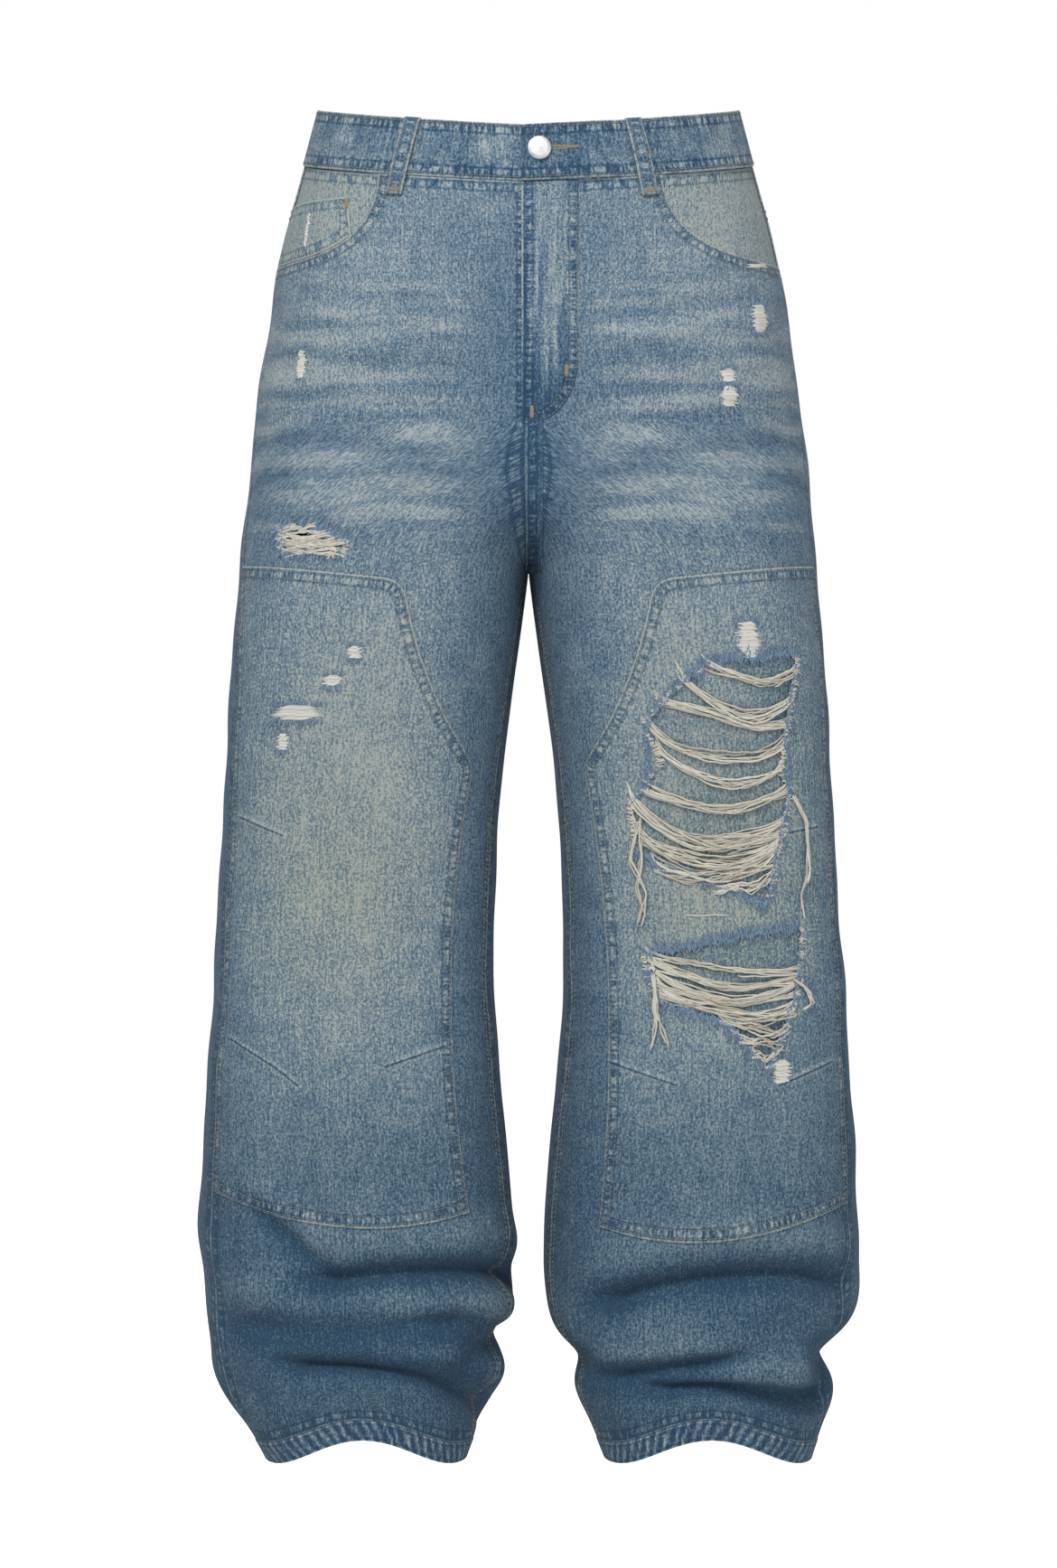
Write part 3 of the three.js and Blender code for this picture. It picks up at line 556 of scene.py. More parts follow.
class Panel:
    """One cut piece of cloth: its outline rolled out flat, and the layers it lies between."""

    def __init__(self, half, loop, holes=(), darts=(), layers=(-CLOTH, 0), spacing=4.2, paler=0.0, behind=()):
        self.half, self.loop, self.holes, self.darts = half, loop, list(holes), list(darts)
        self.inner, self.outer = layers
        self.spacing, self.paler, self.behind = spacing, paler, list(behind)

    def cut_size(self):
        """Width of the widest row, length and area of the cloth that this is cut from, in metres."""
        start, end = self.loop, np.roll(self.loop, -1, axis=0)
        low, high = start[:, 1].min(), start[:, 1].max()
        width = 0.0
        for drop in np.linspace(low, high, 202)[1:-1]:
            crossed = (start[:, 1] <= drop) != (end[:, 1] <= drop)
            a, b = start[crossed], end[crossed]
            x = a[:, 0] + (drop - a[:, 1]) / (b[:, 1] - a[:, 1]) * (b[:, 0] - a[:, 0])
            width = max(width, np.ptp(x))
        return (width * MM, (high - low) * MM), self.area() * MM * MM

    def skin(self, flat):
        return self.half.skin(self.half.rolled(flat), flat[:, 1])

    def outside(self, flat):
        return np.full(len(flat), float(self.outer))

    def inside(self, flat):
        return np.full(len(flat), float(self.inner))

    def place(self, flat, out=0.0):
        """Points on the panel's outer side."""
        point, normal = self.skin(flat)
        return point + normal * (self.outside(flat) + np.broadcast_to(out, len(flat)))[:, None]

    def area(self):
        return abs(area_of(self.loop)) - sum(abs(area_of(hole)) for hole in self.holes)

    def look(self, flat):
        fade, stain = wash_and_fold_shade(self.half, self.half.rolled(flat), flat[:, 1])
        # Painted shade with a greyer tint on the cloth under and round the torn holes of the panel above it.
        for loop in self.behind:
            stain = stain + 0.12 * inside_loop(flat, inward(loop, -6))
        return fade + self.paler, stain

    def hip(self, flat):
        """Where whiskers form: over the front of the hip and the thigh."""
        drop, degrees = flat[:, 1], self.half.rolled(flat)
        x = np.abs(self.half.face(degrees, drop, folds=False)[:, 0])
        zone = smoothstep(drop, 105, 150) * (1 - smoothstep(drop, 300, 345)) * smoothstep(x, 34, 60)
        return zone * np.where(degrees < 180, 1.0, 0.35)

    def edges(self, flat):
        return nearest(flat, *segments_of([self.loop], True))

    def sew(self, name, material):
        rings = [self.loop, *self.holes]
        borders = segments_of(rings, True)
        points = grid_points(self.loop.min(axis=0), self.loop.max(axis=0), self.spacing)
        extra = [inward(self.loop, 1.1)]
        extra += [inset(line, side, ring=False)
                  for line in self.darts for side in (-2.6, -1.0, 0.0, 1.0, 2.6)]
        if self.darts:
            points = points[nearest(points, *segments_of(self.darts, False))[0] > 4.2]
        fine = np.where(points[:, 1] > STACK_START, 0.62, 1.0)
        points = points[nearest(points, *borders)[0] > self.spacing * 0.6 * fine]
        points = np.concatenate([points, *extra])
        keep = inside_loop(points, self.loop)
        for hole in self.holes:
            keep &= ~inside_loop(points, hole)
        edges, first = [], 0
        for ring in rings:
            edges += [(first + i, first + (i + 1) % len(ring)) for i in range(len(ring))]
            first += len(ring)
        every = np.concatenate([*rings, points[keep]])
        out_points, _, out_faces, *_ = delaunay_2d_cdt([tuple(p) for p in every.tolist()], edges, [], 0, 1e-4)
        flat = np.array([tuple(p) for p in out_points])
        faces = np.array([f for f in out_faces if len(f) == 3])
        middles = flat[faces].mean(axis=1)
        keep = inside_loop(middles, self.loop)
        for hole in self.holes:
            keep &= ~inside_loop(middles, hole)
        used, faces = np.unique(faces[keep], return_inverse=True)
        return self.thicken(name, flat[used], faces.reshape(-1, 3), material)

    def thicken(self, name, flat, faces, material):
        far = np.full(len(flat), 90.0)
        seam, run = self.edges(flat)
        tear = nearest(flat, *segments_of(self.holes, True))[0] if self.holes else far
        dart = nearest(flat, *segments_of(self.darts, False))[0] if self.darts else far
        fade, stain = self.look(flat)
        rounded = -0.35 * (1 - smoothstep(np.minimum(seam, tear), 0, 1.1))
        ridge = 0.9 * hump(dart / 1.8) - 0.5 * hump((dart - 3.2) / 1.8)
        point, normal = self.skin(flat)
        top = point + normal * (self.outside(flat) + rounded + ridge)[:, None]
        under = point + normal * self.inside(flat)[:, None]
        vertices = np.concatenate([top, under])
        thing = new_object(name, vertices, face_out(vertices, with_rim(faces, len(flat))).tolist(), material)
        set_values(thing.data, seam=twice(seam), run=twice(run), tear=twice(tear), dart=twice(dart),
                   fade=twice(np.clip(fade, 0, 1)), stain=twice(stain), hip=twice(self.hip(flat)))
        set_cloth_map(thing.data, twice(flat))
        return thing


def tube_mesh(paths, radii, sides=5):
    """Round yarns along paths, joined in one mesh. Every path has its own number of points."""
    vertices, faces, shades, base = [], [], [], 0
    turn = 2 * np.pi * np.arange(sides) / sides
    for number, (path, radius) in enumerate(zip(paths, radii)):
        path = np.asarray(path, float)
        ahead = np.gradient(path, axis=0)
        ahead /= np.maximum(np.linalg.norm(ahead, axis=1, keepdims=True), 1e-9)
        helper = np.where(np.abs(ahead[:, [1]]) < 0.9, [[0, 1.0, 0]], [[0, 0, 1.0]])
        one = np.cross(ahead, helper)
        one /= np.linalg.norm(one, axis=1, keepdims=True)
        two = np.cross(ahead, one)
        thin = np.ones(len(path))
        thin[0] = thin[-1] = 0.55
        ring = np.cos(turn)[None, :, None] * one[:, None] + np.sin(turn)[None, :, None] * two[:, None]
        vertices.append((path[:, None] + ring * (radius * thin)[:, None, None]).reshape(-1, 3))
        i, j = np.meshgrid(np.arange(len(path) - 1), np.arange(sides), indexing="ij")
        a, k = base + i * sides, (j + 1) % sides
        faces += np.stack([a + j, a + k, a + sides + k, a + sides + j], axis=-1).reshape(-1, 4).tolist()
        base += len(path) * sides
        faces.append([base - len(path) * sides + j for j in reversed(range(sides))])
        faces.append([base - sides + j for j in range(sides)])
        shades.append(np.full(len(path) * sides, (number * 0.618) % 1.0))
    return np.concatenate(vertices), faces, np.concatenate(shades)


def yarn_object(name, paths, radii, material, sides=5):
    vertices, faces, shades = tube_mesh(paths, radii, sides)
    thing = new_object(name, vertices, faces, material)
    set_values(thing.data, strand=shades)
    return thing


STITCH = {"length": 2.5, "pitch": 3.3, "radius": 0.42}


def stitch_paths(place, line, ring=False, lift=0.18):
    """Short arched threads along a flat line. place(points, out) puts flat points on the cloth."""
    if ring:
        line = np.concatenate([line, line[:1]])
    lengths = np.concatenate([[0], np.cumsum(np.linalg.norm(np.diff(line, axis=0), axis=1))])
    starts = np.arange(0.4, lengths[-1] - STITCH["length"], STITCH["pitch"])
    if not len(starts):
        return []
    shares = np.array([0.0, 0.5, 1.0])
    at = (starts[:, None] + STITCH["length"] * shares).ravel()
    flat = np.stack([np.interp(at, lengths, line[:, i]) for i in range(2)], axis=1)
    out = np.tile([-0.05, lift, -0.05], len(starts))
    return list(place(flat, out).reshape(len(starts), 3, 3))


# ---------------------------------------------------------------- materials
class Nodes:
    """Writes a node tree in short lines."""

    def __init__(self, tree):
        self.tree = tree

    def add(self, kind, settings=None, **inputs):
        node = self.tree.nodes.new(kind)
        for name, value in (settings or {}).items():
            setattr(node, name, value)
        for name, value in inputs.items():
            key = int(name[1:]) if name[1:].isdigit() else name.replace("_", " ")
            self.join(value, node.inputs[key])
        return node

    def join(self, value, socket):
        if hasattr(value, "is_output") or isinstance(value, bpy.types.NodeSocket):
            self.tree.links.new(value, socket)
        else:
            socket.default_value = value

    def math(self, operation, a, b=0.0, clamp=False):
        return self.add("ShaderNodeMath", {"operation": operation, "use_clamp": clamp}, _0=a, _1=b).outputs[0]

    def value(self, name):
        return self.add("ShaderNodeAttribute", {"attribute_name": name}).outputs["Fac"]

    def mix(self, share, a, b, blend="MIX"):
        node = self.add("ShaderNodeMix", {"data_type": "RGBA", "blend_type": blend})
        for index, item in ((0, share), (6, a), (7, b)):
            self.join(item, node.inputs[index])
        return node.outputs[2]

    def between(self, value, low, high, start=0.0, end=1.0):
        node = self.add("ShaderNodeMapRange", {"interpolation_type": "SMOOTHSTEP"})
        for index, item in enumerate((value, low, high, start, end)):
            self.join(item, node.inputs[index])
        return node.outputs[0]


def make_group(name, inputs, outputs, build):
    """A shader node group with named sockets, built once."""
    tree = bpy.data.node_groups.new(name, "ShaderNodeTree")
    for label, kind, default in inputs:
        socket = tree.interface.new_socket(label, in_out="INPUT", socket_type=kind)
        if default is not None:
            socket.default_value = default
    for label, kind in outputs:
        tree.interface.new_socket(label, in_out="OUTPUT", socket_type=kind)
    n = Nodes(tree)
    source, sink = tree.nodes.new("NodeGroupInput"), tree.nodes.new("NodeGroupOutput")
    for label, value in build(n, source.outputs).items():
        tree.links.new(value, sink.inputs[label])
    return tree


FLOAT, COLOUR, VECTOR = "NodeSocketFloat", "NodeSocketColor", "NodeSocketVector"


def stretched(n, vector, degrees, fine, long):
    """The cloth's map turned by degrees, with its grain drawn out along one way."""
    mapping = n.add("ShaderNodeMapping", {"vector_type": "POINT"})
    n.join(vector, mapping.inputs["Vector"])
    mapping.inputs["Rotation"].default_value = (0, 0, math.radians(degrees))
    mapping.inputs["Scale"].default_value = (1000 / fine, 1000 / long, 1)
    return mapping.outputs[0]


def noise(n, vector, scale=1.0, detail=3.0, rough=0.6):
    return n.add("ShaderNodeTexNoise", {"noise_dimensions": "3D"}, Vector=vector, Scale=scale, Detail=detail,
                 Roughness=rough).outputs["Fac"]


def total(n, *parts):
    """The sum of shares of values, given as pairs."""
    result = None
    for value, share in parts:
        part = n.math("MULTIPLY", value, share)
        result = part if result is None else n.math("ADD", result, part)
    return result


def build_weave(n, given):
    """Twill ribs, uneven yarns and the salt-and-pepper of worn indigo."""
    cloth = given["Cloth"]
    ribs = n.add("ShaderNodeTexWave", {"wave_type": "BANDS", "bands_direction": "X", "wave_profile": "SIN"},
                 Vector=stretched(n, cloth, 38, 1.0, 1.0), Scale=0.32,
                 Distortion=2.2, Detail=1.0).outputs["Fac"]
    streaks = noise(n, stretched(n, cloth, -38, 1.3, 3.6), 1.0, 3.0, 0.7)
    slubs = noise(n, stretched(n, cloth, 0, 1.8, 30.0), 1.0, 2.0, 0.5)
    picks = noise(n, stretched(n, cloth, 90, 1.8, 12.0), 1.0, 2.0, 0.5)
    salt = noise(n, stretched(n, cloth, 0, 1.7, 1.7), 1.0, 3.0, 0.8)
    sums = total(n, (streaks, 0.34), (slubs, 0.09), (picks, 0.11), (salt, 0.46))
    mask = n.between(sums, 0.41, 0.59)
    return {"Grain": mask, "Height": total(n, (ribs, 0.45), (mask, 0.55))}


def build_clouds(n, given):
    """Uneven fading, in soft patches and in streaks both ways."""
    cloth = given["Cloth"]
    soft = noise(n, stretched(n, cloth, 0, 46, 62), 1.0, 4.0, 0.62)
    drawn = noise(n, stretched(n, cloth, 0, 6, 70), 1.0, 3.0, 0.55)
    crossed = noise(n, stretched(n, cloth, 0, 48, 9), 1.0, 3.0, 0.6)
    blotches = noise(n, stretched(n, cloth, 20, 11, 14), 1.0, 3.0, 0.65)
    sums = total(n, (soft, 0.38), (drawn, 0.20), (crossed, 0.20), (blotches, 0.22))
    return {"Clouds": n.math("SUBTRACT", sums, 0.5)}


def build_puckers_and_groove_shade(n, given):
    """Wear along a seam: a pale worn edge, and puckers between; its dark output is painted shade, in lines
    along the pulled-in stitch rows and in the pucker hollows.
    """
    seam, run = given["Seam"], given["Run"]
    place = n.add("ShaderNodeCombineXYZ", X=n.math("DIVIDE", run, 3.0),
                  Y=n.math("DIVIDE", seam, 16.0)).outputs[0]
    waves = n.between(noise(n, place, 1.0, 2.0, 0.6), 0.40, 0.60)
    zone = n.math("MULTIPLY", n.between(seam, 1.0, 2.6), n.between(seam, 7.5, 11.5, 1.0, 0.0))
    edge = n.between(seam, 0.5, 1.7, 1.0, 0.0)
    broken = n.between(noise(n, place, 0.3, 2.0, 0.6), 0.35, 0.6)
    pale = n.math("MULTIPLY", edge, n.math("ADD", 0.4, n.math("MULTIPLY", broken, 0.6)))
    light = n.math("MAXIMUM", pale, n.math("MULTIPLY", n.math("MULTIPLY", zone, waves), 0.55))
    # Painted shade: dark lines in the grooves of the two stitch rows.
    rows = None
    for distance in (2.4, 8.0):
        off = n.math("ABSOLUTE", n.math("SUBTRACT", seam, distance))
        line = n.between(off, 0.4, 1.5, 1.0, 0.0)
        rows = line if rows is None else n.math("MAXIMUM", rows, line)
    # Painted shade in the hollows between the puckers.
    hollow = n.math("MULTIPLY", zone, n.math("SUBTRACT", 1.0, waves))
    dark = n.math("MAXIMUM", n.math("MULTIPLY", hollow, 0.75), n.math("MULTIPLY", rows, 0.9))
    height = n.math("SUBTRACT", n.math("ADD", n.math("MULTIPLY", zone, waves), n.math("MULTIPLY", edge, 0.5)),
                    n.math("MULTIPLY", rows, 0.6))
    return {"Light": light, "Dark": dark, "Height": height}


def build_whiskers(n, given):
    """Strokes of wear across the hips, each with one sharp side."""
    cloth = given["Cloth"]
    bent = n.add("ShaderNodeVectorMath", {"operation": "ADD"}, _0=cloth, _1=n.add(
        "ShaderNodeCombineXYZ",
        Y=n.math("MULTIPLY", noise(n, stretched(n, cloth, 0, 70, 70)), 0.012)).outputs[0])
    strokes = noise(n, stretched(n, bent.outputs[0], 9, 125, 15), 1.0, 1.6, 0.5)
    light = n.between(strokes, 0.50, 0.60)
    dark = n.between(strokes, 0.38, 0.46, 1.0, 0.0)
    return {"Light": light, "Dark": dark}


INDIGO = [(0.0, (0.024, 0.064, 0.124)), (0.3, (0.062, 0.126, 0.204)), (0.6, (0.142, 0.216, 0.290)),
          (0.85, (0.250, 0.316, 0.356)), (1.0, (0.400, 0.438, 0.440))]


def build_indigo(n, given):
    """The colour of the denim for how faded and stained it is; both inputs also carry painted shade."""
    ramp = n.add("ShaderNodeValToRGB", Fac=given["Fade"])
    while len(ramp.color_ramp.elements) < len(INDIGO):
        ramp.color_ramp.elements.new(0.5)
    for element, (position, colour) in zip(ramp.color_ramp.elements, INDIGO):
        element.position, element.color = position, (*colour, 1)
    return {"Color": n.mix(given["Stain"], ramp.outputs["Color"], given["Stained"], "MULTIPLY")}


def shared_groups():
    if "Denim weave" in bpy.data.node_groups:
        return
    make_group("Denim weave", [("Cloth", VECTOR, None)], [("Grain", FLOAT), ("Height", FLOAT)], build_weave)
    make_group("Fade clouds", [("Cloth", VECTOR, None)], [("Clouds", FLOAT)], build_clouds)
    make_group("Whiskers", [("Cloth", VECTOR, None)], [("Light", FLOAT), ("Dark", FLOAT)], build_whiskers)
    make_group("Seam puckers", [("Seam", FLOAT, 90.0), ("Run", FLOAT, 0.0)],
               [("Light", FLOAT), ("Dark", FLOAT), ("Height", FLOAT)], build_puckers_and_groove_shade)
    make_group("Indigo",
               [("Fade", FLOAT, 0.5), ("Stain", FLOAT, 0.0), ("Stained", COLOUR, (0.98, 0.93, 0.76, 1))],
               [("Color", COLOUR)], build_indigo)


def group(n, name, **inputs):
    node = n.add("ShaderNodeGroup", {"node_tree": bpy.data.node_groups[name]})
    for label, value in inputs.items():
        n.join(value, node.inputs[label])
    return node.outputs


def denim(name, lift=0.0, seam_wear_and_shade=1.0, roping=False, clouding=1.1,
          whiskered=False, streaked=False, tint=0.0):
    """A washed denim. lift makes the whole piece paler, and tint yellows it. roping draws the twisted
    ridges of a hem, whiskered the strokes over a hip, and streaked the upright lines of a fly."""
    if name in bpy.data.materials:
        return bpy.data.materials[name]
    shared_groups()
    material = bpy.data.materials.new(name)
    material.use_nodes = True
    tree = material.node_tree
    tree.nodes.clear()
    n = Nodes(tree)
    cloth = n.add("ShaderNodeUVMap", {"uv_map": "cloth"}).outputs[0]
    weave, clouds = group(n, "Denim weave", Cloth=cloth), group(n, "Fade clouds", Cloth=cloth)
    # Seam marks: a worn pale edge, and painted shade along the stitch grooves and in the pucker hollows.
    wear = group(n, "Seam puckers", Seam=n.value("seam"), Run=n.value("run"))
    grain = n.math("SUBTRACT", weave["Grain"], 0.5)
    parts = [(n.value("fade"), 1.0), (clouds["Clouds"], clouding), (grain, 0.74),
             (wear["Light"], 0.46 * seam_wear_and_shade), (wear["Dark"], -0.44 * seam_wear_and_shade)]
    if streaked:
        upright = n.between(noise(n, stretched(n, cloth, 0, 5.5, 150), 1.0, 1.5, 0.5), 0.42, 0.58, -0.5, 0.5)
        parts.append((n.math("MULTIPLY", upright, n.value("hip")), 0.42))
    if whiskered:
        strokes, hip = group(n, "Whiskers", Cloth=cloth), n.value("hip")
        parts += [(n.math("MULTIPLY", strokes["Light"], hip), 0.17),
                  (n.math("MULTIPLY", strokes["Dark"], hip), -0.13)]
    heights = [(weave["Height"], 0.25), (wear["Height"], 0.5)]
    dart = n.value("dart")
    # Painted shadow along each dart's fold, with a painted highlight on the cloth beside it.
    line, dart_highlight = n.between(dart, 0.3, 1.2, 1.0, 0.0), n.between(dart, 1.0, 4.5, 1.0, 0.0)
    parts += [(dart_highlight, 0.22), (line, -0.62)]
    if roping:
        uneven = noise(n, stretched(n, cloth, 0, 14, 30))
        slant = total(n, (n.value("run"), 0.78), (n.value("down"), -0.42), (uneven, 8.0))
        twist = n.math("MULTIPLY", n.math("ADD", n.math("SINE", slant), 1.0), 0.5)
        parts.append((n.math("SUBTRACT", twist, 0.55), 0.62))
        heights.append((twist, 1.6))
    fade = n.math("ADD", total(n, *parts), lift, clamp=True)
    fuzz = noise(n, stretched(n, cloth, 0, 3.0, 2.2), 1.0, 3.0, 0.7)
    torn = n.between(n.math("ADD", n.value("tear"), n.math("MULTIPLY", fuzz, 7.0)), 3.0, 8.5, 1.0, 0.0)
    stain = n.math("ADD", n.value("stain"), tint, clamp=True)
    colour = group(n, "Indigo", Fade=fade, Stain=stain)["Color"]
    colour = n.mix(n.math("MULTIPLY", torn, 0.55), colour, (0.40, 0.46, 0.50, 1))
    bump = n.add("ShaderNodeBump", Strength=0.6, Distance=0.0007, Height=total(n, *heights))
    shader = n.add("ShaderNodeBsdfPrincipled", Base_Color=colour, Roughness=0.92, Normal=bump.outputs[0])
    shader.inputs["Specular IOR Level"].default_value = 0.15
    shader.inputs["Sheen Weight"].default_value = 0.06
    shader.inputs["Sheen Roughness"].default_value = 0.6
    n.add("ShaderNodeOutputMaterial", Surface=shader.outputs[0])
    return material


def yarn_material(name, dark, light, sheen=0.15):
    """Loose or sewn yarn, each strand slightly different."""
    if name in bpy.data.materials:
        return bpy.data.materials[name]
    material = bpy.data.materials.new(name)
    material.use_nodes = True
    material.node_tree.nodes.clear()
    n = Nodes(material.node_tree)
    place = n.add("ShaderNodeTexCoord").outputs["Object"]
    twist = noise(n, place, 900.0, 2.0, 0.6)
    share = n.math("ADD", n.math("MULTIPLY", n.value("strand"), 0.6), n.math("MULTIPLY", twist, 0.4))
    colour = n.mix(share, (*dark, 1), (*light, 1))
    bump = n.add("ShaderNodeBump", Strength=0.5, Distance=0.0003, Height=twist)
    shader = n.add("ShaderNodeBsdfPrincipled", Base_Color=colour, Roughness=0.9, Normal=bump.outputs[0])
    shader.inputs["Specular IOR Level"].default_value = 0.2
    shader.inputs["Sheen Weight"].default_value = sheen
    n.add("ShaderNodeOutputMaterial", Surface=shader.outputs[0])
    return material


def button_material():
    material = bpy.data.materials.new("Satin button metal")
    material.use_nodes = True
    material.node_tree.nodes.clear()
    n = Nodes(material.node_tree)
    place = n.add("ShaderNodeTexCoord").outputs["Object"]
    scuffs = noise(n, place, 420.0, 4.0, 0.65)
    tarnish = n.mix(scuffs, (0.62, 0.61, 0.61, 1), (0.86, 0.85, 0.85, 1))
    bump = n.add("ShaderNodeBump", Strength=0.2, Distance=0.0002, Height=scuffs)
    shader = n.add("ShaderNodeBsdfPrincipled", Base_Color=tarnish, Metallic=0.85,
                   Roughness=n.between(scuffs, 0.3, 0.7, 0.34, 0.5), Normal=bump.outputs[0])
    n.add("ShaderNodeOutputMaterial", Surface=shader.outputs[0])
    return material


def cream_yarn():
    return yarn_material("Cream weft yarn", (0.44, 0.41, 0.33), (0.80, 0.78, 0.70))


def white_yarn():
    return yarn_material("Bleached yarn", (0.52, 0.51, 0.46), (0.90, 0.89, 0.84))


def blue_yarn():
    return yarn_material("Frayed indigo yarn", (0.07, 0.15, 0.27), (0.32, 0.43, 0.54))


def seam_thread():
    return yarn_material("Seam thread", (0.15, 0.15, 0.14), (0.34, 0.32, 0.26))


def tack_thread():
    return yarn_material("Bar tack thread", (0.20, 0.16, 0.12), (0.40, 0.33, 0.25))


def settle(piece, node):
    """A piece rides on the one body; node, when given, is the solid it stands for, and is hidden."""
    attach(piece, "root")
    if node:
        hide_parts(node)


# The pieces that lie on a sheet, by the node that the sheet stands for.
ON_SHEET = {"knee_panel_left": ("knee_rip_yarns", "lower_knee_rip_yarns", "hanging_yarns"),
            "front_right": ("thigh_rip_yarns",)}


def declare(node, panel):
    """Works out the cut size of a sewn piece and looks up the yarns left on it, but keeps neither."""
    (width, length), area = panel.cut_size()
    others = [bpy.data.objects[name] for name in ON_SHEET.get(node, ())]
    min(area, width * length)


# ---------------------------------------------------------------- the cut pieces
SCOOP_DEPTH = 64
SCOOP_MIDDLE = 186
SCOOP_TOP = 55
FULLNESS = 0.84
FACING_LAP = 18


def scoop_line(half, grown=0.0):
    """The pocket mouth from the band to the outer seam, flat."""
    turn = np.linspace(0, np.pi / 2, 30)
    reach, depth = half.scoop_reach + grown, SCOOP_DEPTH + grown
    x = SCOOP_MIDDLE - reach * np.cos(turn) ** FULLNESS
    drop = SCOOP_TOP + depth * np.sin(turn) ** FULLNESS
    keep = x < half.reach(drop) - 1.0
    x, drop = x[keep], drop[keep]
    degrees, level = half.find(x, TOP - drop)
    inside = degrees > half.outer_edge(level)
    line = half.flat(degrees[inside], level[inside])
    start = half.flat(half.find(x[:1], TOP - np.array([SCOOP_TOP]))[0], np.array([BAND + GAP]))
    last = line[-1, 1] + 1.0
    return np.concatenate([start, line, half.flat(half.outer_edge(last), last)])


KNEE_PANEL = {"top": 334, "corner": 90, "corner_drop": 351, "wing": 40, "wing_drop": 485, "waist": 56,
              "foot_sag": 14, "foot_rise": 24, "outer": 250}


def knee_lines(half):
    """The knee panel's inner edge from its top corner to its foot, and its foot, by x and drop."""
    k = KNEE_PANEL
    corner, drop, wing, wing_drop = k["corner"], k["corner_drop"], k["wing"], k["wing_drop"]
    inner = np.concatenate([
        curve((corner + 12, drop - 2), (corner, drop), (corner - 3, drop + 12), 6),
        curve((corner - 3, drop + 12), (corner - 14, 425), (wing + 3, wing_drop - 8)),
        curve((wing + 3, wing_drop - 8), (wing, wing_drop), (wing + 3, wing_drop + 12), 6),
        curve((wing + 3, wing_drop + 12), (2 * k["waist"] - wing - 3, 640),
              (half.knee_foot_inner, half.knee_foot), 24)])
    foot = curve((half.knee_foot_inner, half.knee_foot), (140, half.knee_foot + 2 * k["foot_sag"]),
                 (k["outer"], half.knee_foot - k["foot_rise"]), 24)
    top = np.array([(k["outer"], k["top"]), (corner + 12, drop - 2)], float)
    return top, inner, foot


def within_seam(half, points):
    """The part of a line, by x and drop, that lies in front of the outer seam, flat."""
    points = resample(points, 3.0)
    points = points[points[:, 0] < half.reach(points[:, 1]) - 4]
    degrees, drop = half.find(points[:, 0], TOP - points[:, 1])
    keep = degrees > half.outer_edge(drop) + 1
    return half.flat(degrees[keep], drop[keep])


RAGGED = {"step": 2.2, "depth": 2.6}


def torn_loop(half, corners, seed):
    """A torn hole from its corners, by x and drop, with a ragged edge."""
    ring = np.array(corners + corners[:1], float)
    line = resample(seen(half, ring), RAGGED["step"])[:-1]
    rough = random.Random(seed)
    jitter = np.array([rough.uniform(-1, 1) for _ in range(len(line))])
    jitter = 0.5 * jitter + 0.5 * np.roll(jitter, 1)
    return inset(line, RAGGED["depth"] * 0.5) + np.stack([0 * jitter, jitter * RAGGED["depth"]], axis=1)


KNEE_RIPS = [
    [(130, 410), (190, 405), (178, 490), (186, 500), (170, 580), (80, 545), (75, 510), (98, 480), (84, 455),
     (104, 430)],
    [(85, 620), (195, 600), (192, 645), (172, 698), (145, 668), (95, 650)],
]
THIGH_RIP = [(180, 312), (152, 311), (129, 322), (130, 332), (178, 331)]


